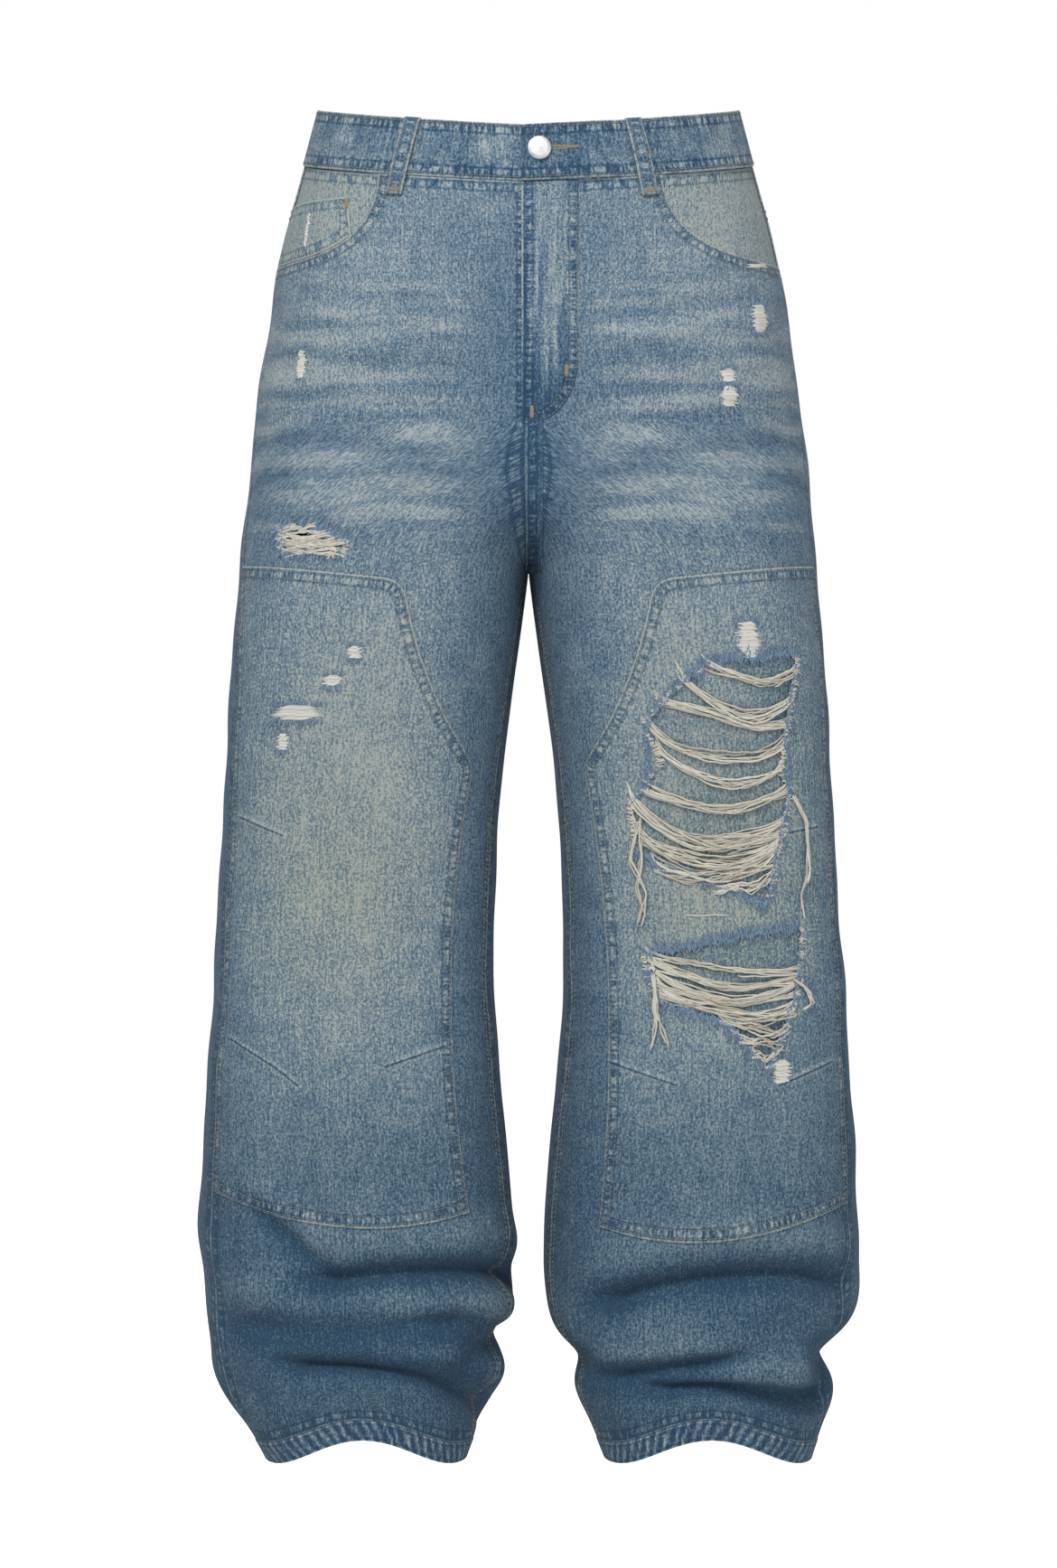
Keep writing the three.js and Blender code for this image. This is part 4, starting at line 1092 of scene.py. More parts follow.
def make_panels():
    """Every cut piece of the legs, by name."""
    panels = {}
    for half in HALVES:
        name = half.name
        top, end = BAND + GAP, PANEL_END
        scoop = scoop_line(half)
        mouth_end = scoop[-1, 1]
        middle_top = float(half.inner_edge(top))
        start = half.rolled(scoop[:1])[0]
        inner = vertical(half, half.inner_edge, top, end)
        outer = vertical(half, half.outer_edge, end, mouth_end)
        first_outer, last_inner = float(half.outer_edge(end)), float(half.inner_edge(end))
        loop = closed(across(half, start, middle_top, top), inner,
                      across(half, last_inner, first_outer, end), outer,
                      scoop[::-1])
        holes = [torn_loop(half, THIGH_RIP, 4)] if half is RIGHT else []
        torn = [torn_loop(half, rip, 11 + i) for i, rip in enumerate(KNEE_RIPS)] if half is LEFT else []
        panels[f"front_{name}"] = Panel(half, loop, holes, behind=torn)

        grown = scoop_line(half, FACING_LAP)
        lap = closed(across(half, half.rolled(grown[:1])[0], float(half.outer_edge(top)), top),
                     vertical(half, half.outer_edge, top, grown[-1, 1]), grown[::-1])
        panels[f"pocket_facing_{name}"] = Panel(
            half, lap, layers=(-2 * CLOTH - GAP, -CLOTH - GAP), spacing=3.6)

        top_line, inner_line, foot_line = knee_lines(half)
        top_flat, inner_flat = within_seam(half, top_line), seen(half, inner_line)
        foot_flat = within_seam(half, foot_line)
        side = vertical(half, lambda drop: half.outer_edge(drop) + 1, foot_flat[-1, 1], top_flat[0, 1])
        knee = closed(top_flat, inner_flat, foot_flat, side)
        panels[f"knee_panel_{name}"] = Panel(half, knee, torn, knee_darts(half), layers=(GAP, GAP + CLOTH),
                                             spacing=3.8, paler=0.08)

        back_inner = lambda drop: half.inner_edge(drop, True)
        back_outer = lambda drop: half.outer_edge(drop, True)
        side_drop, middle_drop = YOKE_SIDE, YOKE_MIDDLE
        side_angle, middle_angle = float(back_outer(side_drop)), float(back_inner(middle_drop))
        panels[f"back_{name}"] = Panel(half, closed(
            across(half, side_angle, middle_angle, (side_drop + GAP, middle_drop + GAP)),
            vertical(half, back_inner, middle_drop + GAP, end),
            across(half, float(back_inner(end)), float(back_outer(end)), end),
            vertical(half, back_outer, end, side_drop + GAP)))
        panels[f"yoke_{name}"] = Panel(half, closed(
            across(half, float(back_outer(top)), float(back_inner(top)), top),
            vertical(half, back_inner, top, middle_drop),
            across(half, middle_angle, side_angle, (middle_drop, side_drop)),
            vertical(half, back_outer, side_drop, top)))
        corners = [(15, 124), (165, 124), (159, 266), (90, 292), (21, 266), (15, 124)]
        pocket = seen(half, corners, behind=True)[:-1]
        panels[f"back_pocket_{name}"] = Panel(
            half, closed(pocket, pocket[[-1, 0]]), layers=(GAP, GAP + CLOTH))
    panels["coin_pocket"] = Panel(RIGHT, coin_loop(), layers=(-CLOTH + 0.05, 0.0), spacing=3.0)
    return panels


COIN = {"top": 74, "side": 130, "foot": 60}


def coin_loop():
    """The coin pocket: its rim and side, then the pocket mouth and the outer seam."""
    mouth = scoop_line(RIGHT, -GAP - 0.2)
    degrees, drop = RIGHT.find([COIN["side"], COIN["side"] - 6], [TOP - COIN["top"], TOP - COIN["top"] - 60])
    corner, low = RIGHT.flat(degrees, drop)
    share = (mouth[:, 1] - corner[1]) / (low[1] - corner[1])
    side_x = corner[0] + (low[0] - corner[0]) * share
    under = mouth[(mouth[:, 1] > corner[1] + 10) & (mouth[:, 0] < side_x)]
    foot = np.array([np.interp(under[0, 1], [corner[1], low[1]], [corner[0], low[0]]), under[0, 1]])
    outer = vertical(RIGHT, lambda d: RIGHT.outer_edge(d) + 0.4, under[-1, 1] - 1, COIN["top"] - 2)
    return closed(np.array([corner, foot]), np.concatenate([[foot], under]),
                  np.concatenate([under[-1:], outer]),
                  np.array([outer[-1], corner]))


YOKE_SIDE = 81
YOKE_MIDDLE = 109


def knee_darts(half):
    """Short darts that shape the knee: from the sides of the panel inwards."""
    if half is RIGHT:
        lines = [[(207, 520), (176, 533)], [(214, 680), (181, 700), (165, 713)], [(55, 683), (103, 699)]]
    else:
        lines = [[(207, 527), (175, 533)], [(58, 696), (106, 712)], [(218, 697), (179, 713)]]
    return [seen(half, line) for line in lines]


PANELS = {}


def panel(name):
    if not PANELS:
        PANELS.update(make_panels())
    return PANELS[name]


# ---------------------------------------------------------------- band and other strips
LAP_EDGE = -5
LAP_UNDER = 34
LAP_RISE = BAND_CLOTH + GAP
LAP_EASE = (66, 75)


def band_place(turn, drop, out):
    """Points on the band.

    A turn counts degrees from the left side through the front; the right is past 90.
    """
    turn, drop, out = np.broadcast_arrays(*(np.asarray(v, float) for v in (turn, drop, out)))
    degrees = np.mod(turn, 360)
    on_left = (degrees <= 90) | (degrees >= 270)
    left = LEFT.cloth(degrees, drop, out)
    right = RIGHT.cloth(np.mod(540 - degrees, 360), drop, out)
    return np.where(on_left[..., None], left, right)


def lap_rise(turn):
    return np.where(turn > LAP_EASE[0], LAP_RISE * smoothstep(turn, *LAP_EASE), 0)


def band_ends():
    start = 180 - float(RIGHT.angle_at(np.array([-LAP_EDGE], float), np.array([BAND / 2]))[0])
    end = float(LEFT.angle_at(np.array([LAP_UNDER], float), np.array([BAND / 2]))[0]) - 360
    return start, end


def grid_faces(columns, rows, joined=False):
    across_count = columns if joined else columns + 1
    faces = []
    for j in range(rows):
        for i in range(columns):
            k = (i + 1) % columns if joined else i + 1
            faces.append((j * across_count + i, j * across_count + k,
                          (j + 1) * across_count + k, (j + 1) * across_count + i))
    return faces


def strip(name, place, widths, turns, thickness, material, wash_at, ends=True):
    """A folded strip with rounded edges, swept along turns. place(turn, drop, out) gives its points."""
    half_thick = thickness / 2
    low, high = widths
    bow = np.linspace(0, np.pi, 6)
    down = np.linspace(low + half_thick, high - half_thick, 14)
    profile = [(d, half_thick) for d in down]
    profile += [(high - half_thick + half_thick * np.sin(a), half_thick * np.cos(a)) for a in bow[1:-1]]
    profile += [(d, -half_thick) for d in down[::-1]]
    profile += [(low + half_thick - half_thick * np.sin(a), -half_thick * np.cos(a)) for a in bow[1:-1]]
    drops, outs = np.array(profile).T
    count, around = len(turns), len(profile)
    points = place(turns[:, None], drops[None, :], outs[None, :])
    vertices = points.reshape(-1, 3)
    faces = []
    for i in range(count - 1):
        for j in range(around):
            k = (j + 1) % around
            faces.append((i * around + j, i * around + k, (i + 1) * around + k, (i + 1) * around + j))
    joined = not ends
    if joined:
        faces += [((count - 1) * around + j, (count - 1) * around + (j + 1) % around, (j + 1) % around, j)
                  for j in range(around)]
    else:
        faces.append(tuple(reversed(range(around))))
        faces.append(tuple(range((count - 1) * around, count * around)))
    thing = new_object(name, vertices, faces, material)
    turn_all = np.repeat(turns, around)
    drop_all = np.tile(drops, count)
    steps = np.linalg.norm(np.diff(points[:, 0], axis=0), axis=1)
    run = np.repeat(np.concatenate([[0], np.cumsum(steps)]), around)
    seam = np.minimum(drop_all - low, high - drop_all)
    fade, stain = wash_at(turn_all, drop_all, run)
    far = np.full(len(seam), 90.0)
    set_values(thing.data, seam=seam, run=run, down=drop_all - low,
               tear=far, dart=far, fade=fade, stain=stain)
    set_cloth_map(thing.data, np.stack([run, drop_all], axis=1))
    return thing, float(run.max())


def band_wash(turn, drop, run):
    front = hump((np.mod(turn, 360) - 90) / 42)
    return 0.64 - 0.20 * front + 0.05 * np.sin(run / 19) * np.sin(drop / 9), 0.1 + 0 * run


def make_band(material):
    start, end = band_ends()
    turns = np.concatenate([np.linspace(start, LAP_EASE[0] - 4, 34), np.linspace(LAP_EASE[0] - 5, end, 300)])

    def place(turn, drop, out):
        corner = 3.0 * (1 - smoothstep(np.abs(start - turn), 0, 1.2)) * hump((drop - 0) / 5)
        return band_place(turn, drop + corner, out + lap_rise(turn))
    return strip("waistband_cloth", place, (0, BAND), turns, BAND_CLOTH, material, band_wash)


LOOP = {"width": 12, "cloth": 1.8, "slack": 2.2, "foot": 15}


def loop_heading(name):
    """The turn round the waist at a share of the loop's length."""
    half = RIGHT if name.endswith("front_right") else LEFT
    if "front" in name:
        def heading(share):
            x = half.loop_top + (half.loop_foot - half.loop_top) * np.asarray(share, float)
            angle = half.angle_at(x, BAND * np.asarray(share, float))
            return 180 - angle if half is RIGHT else angle
        return heading
    turn = {"belt_loop_side_right": 540 - 318, "belt_loop_side_left": 318, "belt_loop_back": 270}[name]
    return lambda share: turn + 0 * np.asarray(share, float)


def loop_place(name):
    heading = loop_heading(name)

    def place(flat, out):
        """flat holds the distance across the loop from its middle, and down it from its top."""
        share = np.clip(flat[:, 1] / (BAND + LOOP["foot"]), 0, 1)
        drop = -0.5 + share * (BAND + LOOP["foot"] + 0.5)
        turn = heading(share)
        speed = np.linalg.norm(band_place(turn + 0.5, drop, 0.0) - band_place(turn - 0.5, drop, 0.0), axis=-1)
        arch = LOOP["slack"] * np.sin(np.pi * np.minimum(1, share / 0.86)) ** 0.6
        stand = BAND_CLOTH / 2 + GAP + arch + LOOP["cloth"] + np.broadcast_to(out, len(flat))
        return band_place(turn + flat[:, 0] / speed, drop, stand)
    return place


def make_loop(name, material):
    place = loop_place(name)
    length = BAND + LOOP["foot"]
    xs, ys = np.linspace(-LOOP["width"] / 2, LOOP["width"] / 2, 9), np.linspace(0, length, 26)
    grid = np.stack(np.meshgrid(xs, ys), axis=-1).reshape(-1, 2)
    rounded = -0.5 * smoothstep(np.abs(grid[:, 0]), LOOP["width"] / 2 - 1.3, LOOP["width"] / 2)
    top, under = place(grid, rounded), place(grid, -LOOP["cloth"] - 0 * rounded)
    count = len(grid)
    faces = grid_faces(8, 25)
    faces += [tuple(v + count for v in reversed(f)) for f in grid_faces(8, 25)]
    edge = [i for i in range(9)] + [9 * j + 8 for j in range(1, 26)]
    edge += [9 * 25 + i for i in range(7, -1, -1)] + [9 * j for j in range(24, 0, -1)]
    faces += [(edge[(i + 1) % len(edge)], edge[i], edge[i] + count, edge[(i + 1) % len(edge)] + count)
              for i in range(len(edge))]
    vertices = np.concatenate([top, under])
    triangles = [t for f in faces for t in ((f[0], f[1], f[2]), (f[0], f[2], f[3]))]
    thing = new_object(name + "_cloth", vertices, face_out(vertices, triangles).tolist(), material)
    far = np.full(2 * count, 90.0)
    set_values(thing.data, seam=twice(LOOP["width"] / 2 - np.abs(grid[:, 0])), run=twice(grid[:, 1]),
               tear=far, dart=far, fade=0 * far + 0.62, stain=0 * far + 0.1)
    set_cloth_map(thing.data, twice(grid))
    return thing


# ---------------------------------------------------------------- yarns
def between_sides(loop, drop):
    """Where a level crosses a torn hole: the flat x of its first and last crossing."""
    after = np.roll(loop, -1, axis=0)
    hit = (loop[:, 1] > drop) != (after[:, 1] > drop)
    if hit.sum() < 2:
        return None
    a, b = loop[hit], after[hit]
    x = a[:, 0] + (drop - a[:, 1]) / (b[:, 1] - a[:, 1]) * (b[:, 0] - a[:, 0])
    return x.min(), x.max()


# Ropes of yarn across each torn hole: drop at the left end, drop at the right end, sag, yarns, spread.
KNEE_ROPES = [
    (410, 405, 15, 9, 2.0), (430, 410, 25, 16, 3.0), (450, 430, 10, 14, 3.0), (460, 445, 25, 9, 3.0),
    (475, 465, 25, 9, 2.5), (495, 495, 18, 14, 3.0), (520, 500, 28, 26, 6.0), (530, 520, 28, 24, 6.0),
    (545, 550, 15, 18, 6.0), (560, 570, 5, 10, 4.0),
]
LOWER_ROPES = [(630, 615, 5, 7, 2.0), (635, 620, 12, 12, 3.0), (640, 630, 16, 18, 4.0),
               (655, 640, 14, 18, 5.0),
               (670, 660, 8, 14, 4.0), (680, 675, 5, 10, 4.0), (690, 690, 2, 6, 3.0)]
THIGH_ROPES = [(312 + 1.8 * i, 312 + 1.8 * i, 1.0, 5, 1.2) for i in range(12)]


def roped_yarns(sheet, loop, ropes, seed):
    """Weft yarns left across a hole, twisted together into sagging ropes that fan out at their ends."""
    rough = random.Random(seed)
    t = np.linspace(0, 1, 32)
    bell = np.sin(np.pi * t) ** 0.6
    paths = []
    for left_drop, right_drop, sag, count, spread in ropes:
        sides = between_sides(loop, (left_drop + right_drop) / 2 + 0.25 * sag)
        if sides is None:
            continue
        width = sides[1] - sides[0]
        bend, wander = rough.uniform(-0.08, 0.08), rough.uniform(0.8, 1.8)
        waves = wander * np.sin(rough.uniform(7, 12) * t + rough.uniform(0, 6.28)) * bell
        for _ in range(count):
            turn = rough.uniform(0, 6.28) + rough.uniform(-9, 9) * t
            wide = spread * rough.uniform(0.3, 1.0) * bell
            fan = (1 - bell) * rough.uniform(-1, 1) * (spread + 4)
            kinks = 0.35 * np.sin(rough.uniform(30, 60) * t + turn[0]) * bell
            x = sides[0] - 2.5 + (width + 5) * (t + bend * np.sin(np.pi * t))
            y = left_drop + (right_drop - left_drop) * t + bell * sag * rough.uniform(0.85, 1.12)
            y = y + fan + wide * np.cos(turn) + waves + kinks
            out = np.maximum(-0.8 + bell * 1.8 + 0.5 * wide * np.sin(turn) + kinks, -1.0)
            broken = rough.random()
            if broken < 0.10:
                keep = slice(0, 12) if broken < 0.05 else slice(20, 32)
                droop = np.linspace(0, 5, 12) * (1 if broken < 0.05 else 0)
                x, y, out = x[keep], y[keep] + droop, out[keep] + 0.8
            paths.append(sheet.place(np.stack([x, y], axis=1), out))
    return paths


def laid_yarns(sheet, x, drop, width, height, seed, step=0.95):
    """A small worn spot: white weft yarns lying bare on the cloth, at flat x and drop."""
    rough = random.Random(seed)
    paths = []
    for i in range(int(height / step)):
        t = np.linspace(-1, 1, 7)
        share = (i + 0.5) * step / height * 2 - 1
        reach = 0.5 * width * math.sqrt(max(0.05, 1 - 0.75 * share * share)) * rough.uniform(0.65, 1.1)
        line = np.stack([x + t * reach + rough.uniform(-1, 1),
                         drop + share * height / 2 + 0.25 * np.sin(5 * t)], axis=1)
        paths.append(sheet.place(line, 0.28 * (1 - t ** 4) + rough.uniform(0, 0.2)))
    return paths


def fringe_along(sheet, line, seed, down=True, step=0.85, length=(2.5, 8.5)):
    """Short frayed warp ends that point off a torn edge; line is flat."""
    rough = random.Random(seed)
    points = resample(line, step)
    paths = []
    for x, y in points:
        if rough.random() < 0.12:
            continue
        long = rough.uniform(*length) * (1 if rough.random() < 0.85 else 1.5)
        lean, curl = rough.uniform(-0.45, 0.45), rough.uniform(-1.6, 1.6)
        t = np.linspace(0, 1, 5)
        sign = 1 if down else -1
        path = np.stack([x + long * lean * t + curl * t * t, y + sign * long * t - sign * 1.2], axis=1)
        paths.append(sheet.place(path, 0.05 + t * rough.uniform(0.1, 1.5)))
    return paths


def frayed_sides(sheet, loop, seed):
    """Short ends of weft that stand out from the upright sides of a torn hole."""
    rough = random.Random(seed)
    ring = resample(np.concatenate([loop, loop[:1]]), 0.9)
    middle, paths = loop[:, 0].mean(), []
    for (x, y), (next_x, next_y) in zip(ring[:-1], ring[1:]):
        if abs(next_x - x) > 0.8 * abs(next_y - y):
            continue
        outward = 1 if x > middle else -1
        t = np.linspace(-0.5, 1, 6)
        if rough.random() < 0.45:
            continue
        long = rough.uniform(1.0, 4.5)
        line = np.stack([x + outward * long * t,
                         y + rough.uniform(-1, 2.5) * t * t + 0.4 * np.sin(6 * t)], axis=1)
        paths.append(sheet.place(line, 0.25 + 0.9 * t * t * rough.uniform(0, 1.4)))
    return paths


def edge_of(loop, upper):
    """The upper or the lower edge of a torn hole, from left to right."""
    left, right = loop[:, 0].min(), loop[:, 0].max()
    xs = np.arange(left + 1, right - 1, 1.2)
    after = np.roll(loop, -1, axis=0)
    result = []
    for x in xs:
        hit = (loop[:, 0] > x) != (after[:, 0] > x)
        a, b = loop[hit], after[hit]
        if len(a):
            y = a[:, 1] + (x - a[:, 0]) / (b[:, 0] - a[:, 0]) * (b[:, 1] - a[:, 1])
            result.append((x, y.min() if upper else y.max()))
    return np.array(result)


SPOTS = {
    "front_right": [(163, 195, 10, 22)],
    "front_left": [(167, 161, 20, 22), (143, 204, 14, 11), (144, 219, 15, 16), (166, 122, 34, 3)],
    "coin_pocket": [(160, 96, 5, 26)],
    "knee_panel_right": [(124, 402, 13, 9), (140, 422, 15, 8), (166, 445, 40, 11), (176, 466, 10, 12)],
    "knee_panel_left": [(157, 393, 19, 26), (182, 703, 16, 18), (128, 590, 44, 1)],
}
# Loose yarns that hang from the torn edges: points by x and drop, on the left knee panel.
HANGING = [
    [(80, 520), (82, 545), (79, 570), (85, 594)], [(80, 522), (74, 550), (86, 575), (80, 600)],
    [(189, 504), (197, 522), (199, 560), (194, 575), (197, 596)], [(90, 632), (92, 665), (87, 690)],
    [(90, 634), (93, 660), (102, 690)], [(190, 636), (200, 646), (202, 655), (193, 660)],
]


# ---------------------------------------------------------------- stitched lines
def side_of_panel(trial, name):
    """1 if the middle of a trial line lies inside the panel, or else -1."""
    middle = trial[len(trial) // 2:len(trial) // 2 + 1]
    return 1 if inside_loop(middle, panel(name).loop)[0] else -1


def hold(name):
    """The place function of a panel, for its stitches."""
    return panel(name).place


def stitched_lines():
    """Pairs of place function and flat line, for all topstitching on the panels."""
    lines = []

    def rows(name, line, distances, ring=False):
        for distance in distances:
            lines.append((hold(name), inset(resample(line, 2.0), distance, ring), ring))
    for half in HALVES:
        name = half.name
        rows(f"front_{name}", scoop_line(half), pocket_sides(half))
        seam = vertical(half, half.inner_edge, CROTCH + FORK, PANEL_END)
        rows(f"front_{name}", seam, inner_sides(half))
        loop = panel(f"knee_panel_{name}").loop
        sign = 1 if area_of(loop) > 0 else -1
        for distance in (2.2, 7.6):
            lines.append((hold(f"knee_panel_{name}"), inset(loop, sign * distance), True))
        pocket = panel(f"back_pocket_{name}").loop
        sign = 1 if area_of(pocket) > 0 else -1
        for distance in (2.2, 8.0):
            lines.append((hold(f"back_pocket_{name}"), inset(pocket, sign * distance), True))
        yoke = across(half, float(half.outer_edge(YOKE_SIDE, True)) - 1,
                      float(half.inner_edge(YOKE_MIDDLE, True)),
                      (YOKE_SIDE, YOKE_MIDDLE))
        for distance in (-2.4, -8.0):
            lines.append((hold(f"yoke_{name}"), yoke + [[0, distance]], False))
        facing_edge = vertical(half, lambda d: half.inner_edge(d, True), YOKE_MIDDLE + 4, CROTCH - 4)
        if half is LEFT:
            away = -1 if half.flat(270, 200)[0, 0] < facing_edge[0, 0] else 1
            for distance in (2.4, 8.0):
                lines.append((hold("back_left"), facing_edge + [[away * distance, 0]], False))
            front_edge = vertical(half, half.inner_edge, 244, CROTCH - 2)
            away = -1 if half.flat(60, 280)[0, 0] < front_edge[0, 0] else 1
            for distance in (2.2, 7.8):
                lines.append((hold("front_left"), front_edge + [[away * distance, 0]], False))
    return lines


def pocket_sides(half):
    """Signed distances of the two rows below a pocket mouth: into the front, away from the mouth."""
    line = resample(scoop_line(half), 2.0)
    trial = inset(line, 4.0, ring=False)
    sign = side_of_panel(trial, f"front_{half.name}")
    return [sign * 2.6, sign * 8.4]


def inner_sides(half):
    line = vertical(half, half.inner_edge, CROTCH + FORK, PANEL_END)
    trial = inset(line, 6.0, ring=False)
    sign = side_of_panel(trial, f"front_{half.name}")
    return [sign * 2.4, sign * 7.6]


FLY = {"edge": -5, "width": 36, "straight": 192, "foot": 246}


def fly_loop():
    edge, width, foot = FLY["edge"], FLY["width"], FLY["foot"]
    top = BAND + GAP
    bend = curve((width, FLY["straight"] - 4), (width - 2, foot - 12), (edge + 9, foot - 6), 16)
    return closed(np.array([(edge, top), (width, top)]),
                  np.array([(width, top), (width, FLY["straight"] - 4)]), bend,
                  np.array([(edge + 9, foot - 6), (edge, foot - 6)]),
                  np.array([(edge, foot - 6), (edge, top)]))


class FlyPanel(Panel):
    """The fly is flat by x and drop, because it crosses the centre line; it thins out into the front."""

    def skin(self, flat):
        x, drop = flat.T
        left = LEFT.skin(LEFT.angle_at(np.abs(x), drop), drop)
        right = RIGHT.skin(RIGHT.angle_at(np.abs(x), drop), drop)
        return [np.where((x < 0)[:, None], b, a) for a, b in zip(left, right)]

    def outside(self, flat):
        near, _ = nearest(flat, *segments_of([fly_curve()], False))
        return 0.12 + (GAP + CLOTH - 0.12) * smoothstep(near, 0, 16)

    def inside(self, flat):
        return np.minimum(0.05, self.outside(flat) - 0.06)

    def hip(self, flat):
        """Where the fly is worn in upright streaks."""
        return hump((flat[:, 1] - 140) / 75)

    def edges(self, flat):
        """Distance to the folded edge, or to where the curved rows of stitches run."""
        edge = np.array([(FLY["edge"], BAND), (FLY["edge"], FLY["foot"])], float)
        near, run = nearest(flat, *segments_of([resample(edge, 3.0)], False))
        curved, along = nearest(flat, *segments_of([fly_curve()], False))
        curved = curved + 1.0
        return np.where(curved < near, curved, near), np.where(curved < near, along, run)

    def look(self, flat):
        x, drop = flat.T
        fade, stain = wash_and_fold_shade(LEFT, LEFT.angle_at(np.abs(x), drop), drop)
        fade = fade + 0.22 * hump((x - 12) / 11) * hump((drop - 130) / 75)
        # Painted shade: darker towards the fly's foot, and a dark line just inside its folded edge.
        fade -= 0.30 * smoothstep(drop, 175, 230) + 0.14 * hump((x + 2) / 3)
        return fade, stain


SEAM_LAP = {"from": 236, "edge": -2.0, "width": 10.5, "height": 0.7}


class SeamLap(FlyPanel):
    """The left front's turned edge, lapped over the right front below the fly."""

    def cut_size(self):
        """The lap turns in under the crotch, so it is cut as long as the line that it follows."""
        drop = np.linspace(SEAM_LAP["from"], CROTCH - 1, 200)
        skin, _ = self.skin(np.stack([np.full(len(drop), 4.0), drop], axis=1))
        length = np.linalg.norm(np.diff(skin, axis=0), axis=1).sum()
        width = SEAM_LAP["width"] - SEAM_LAP["edge"]
        return (width * MM, length * MM), width * length * MM * MM

    def outside(self, flat):
        return np.full(len(flat), SEAM_LAP["height"])

    def inside(self, flat):
        return np.full(len(flat), 0.04)

    def hip(self, flat):
        return np.zeros(len(flat))

    def edges(self, flat):
        edge = np.array([(SEAM_LAP["edge"], SEAM_LAP["from"]), (SEAM_LAP["edge"], CROTCH)], float)
        return nearest(flat, *segments_of([resample(edge, 3.0)], False))

    def look(self, flat):
        x, drop = flat.T
        fade, stain = wash_and_fold_shade(LEFT, LEFT.angle_at(np.abs(x), drop), drop)
        return fade - 0.12, stain


def seam_lap_loop():
    left, right = SEAM_LAP["edge"], SEAM_LAP["width"]
    top, foot = SEAM_LAP["from"], CROTCH - 1
    return closed(np.array([(left, top), (right, top)]), np.array([(right, top), (right, foot)]),
                  np.array([(right, foot), (left, foot)]), np.array([(left, foot), (left, top)]))


def fly_curve():
    """The curved outer side of the fly, by x and drop."""
    loop = fly_loop()
    right = loop[(loop[:, 0] > FLY["edge"] + 5) & (loop[:, 1] > BAND + 6)]
    return right


# ---------------------------------------------------------------- sizes and colours a user would change
class JeansSizes(bpy.types.PropertyGroup):
    stitch_pitch: bpy.props.FloatProperty(
        name="Stitch pitch", description="Distance from one stitch to the next",
        default=0.0033, unit="LENGTH")
    yarn_radius: bpy.props.FloatProperty(
        name="Yarn radius", description="Radius of a loose weft yarn", default=0.00058, unit="LENGTH")
    camera_distance: bpy.props.FloatProperty(
        name="Camera distance", description="From the lens to the middle of the jeans",
        default=3.6, unit="LENGTH")


class JeansColours(bpy.types.PropertyGroup):
    floor: bpy.props.FloatVectorProperty(
        name="Floor", description="Colour of the studio floor",
        default=(0.8, 0.8, 0.8), size=3, subtype="COLOR")


def sizes():
    return bpy.context.scene.jeans_sizes


class JeansPiece:
    bl_options = {"REGISTER", "UNDO"}


class JEANS_OT_panels(JeansPiece, bpy.types.Operator):
    """Cut and sew the fronts, backs, yokes, facings and pockets"""
    bl_idname = "jeans.panels"
    bl_label = "Leg panels and pockets"

    def execute(self, context):
        looks = {"front": denim("Front denim", whiskered=True), "back": denim("Back denim", whiskered=True),
                 "yoke": denim("Washed denim"),
                 "pocket": denim("Faded denim", 0.22, tint=0.35),
                 "coin": denim("Faded denim", 0.22, tint=0.35),
                 "knee": denim("Knee denim", 0.02)}
        for half in HALVES:
            for kind in ("front", "back", "yoke", "pocket_facing", "back_pocket"):
                self.sew(f"{kind}_{half.name}", looks[kind.split("_")[0]])
        self.sew("coin_pocket", looks["coin"])
        return {"FINISHED"}

    def sew(self, node, material):
        cut = panel(node)
        piece = cut.sew(node + "_cloth", material)
        settle(piece, node)
        if node not in ON_SHEET:
            declare(node, cut)


class JEANS_OT_knees(JeansPiece, bpy.types.Operator):
    """Sew on the knee panels, with their darts and torn holes"""
    bl_idname = "jeans.knees"
    bl_label = "Knee panels"

    def execute(self, context):
        for half in HALVES:
            node = f"knee_panel_{half.name}"
            piece = panel(node).sew(node + "_cloth", denim("Knee denim", 0.02))
            settle(piece, node)
            if node not in ON_SHEET:
                declare(node, panel(node))
        return {"FINISHED"}


class JEANS_OT_band(JeansPiece, bpy.types.Operator):
    """Fold the waistband round, with its left end over its right end"""
    bl_idname = "jeans.band"
    bl_label = "Waistband"

    def execute(self, context):
        piece, length = make_band(denim("Band denim", -0.02, 1.2, clouding=3.0))
        settle(piece, "waistband")
        return {"FINISHED"}


class JEANS_OT_fly(JeansPiece, bpy.types.Operator):
    """Lay the fly over the centre front"""
    bl_idname = "jeans.fly"
    bl_label = "Fly"

    def execute(self, context):
        cut = FlyPanel(LEFT, fly_loop(), spacing=2.6)
        settle(cut.sew("fly_cloth", denim("Fly denim", streaked=True)), "fly")
        declare("fly", cut)
        lap = SeamLap(LEFT, seam_lap_loop(), spacing=2.6)
        settle(lap.sew("centre_seam_lap_cloth", denim("Washed denim")), None)
        declare("centre_seam_lap", lap)
        return {"FINISHED"}


class JEANS_OT_loops(JeansPiece, bpy.types.Operator):
    """Tack on the five belt loops"""
    bl_idname = "jeans.loops"
    bl_label = "Belt loops"
    names = ("belt_loop_front_right", "belt_loop_front_left", "belt_loop_side_right", "belt_loop_side_left",
             "belt_loop_back")

    def execute(self, context):
        for name in self.names:
            piece = make_loop(name, denim("Loop denim", 0.0, 0.9))
            settle(piece, name)
        return {"FINISHED"}


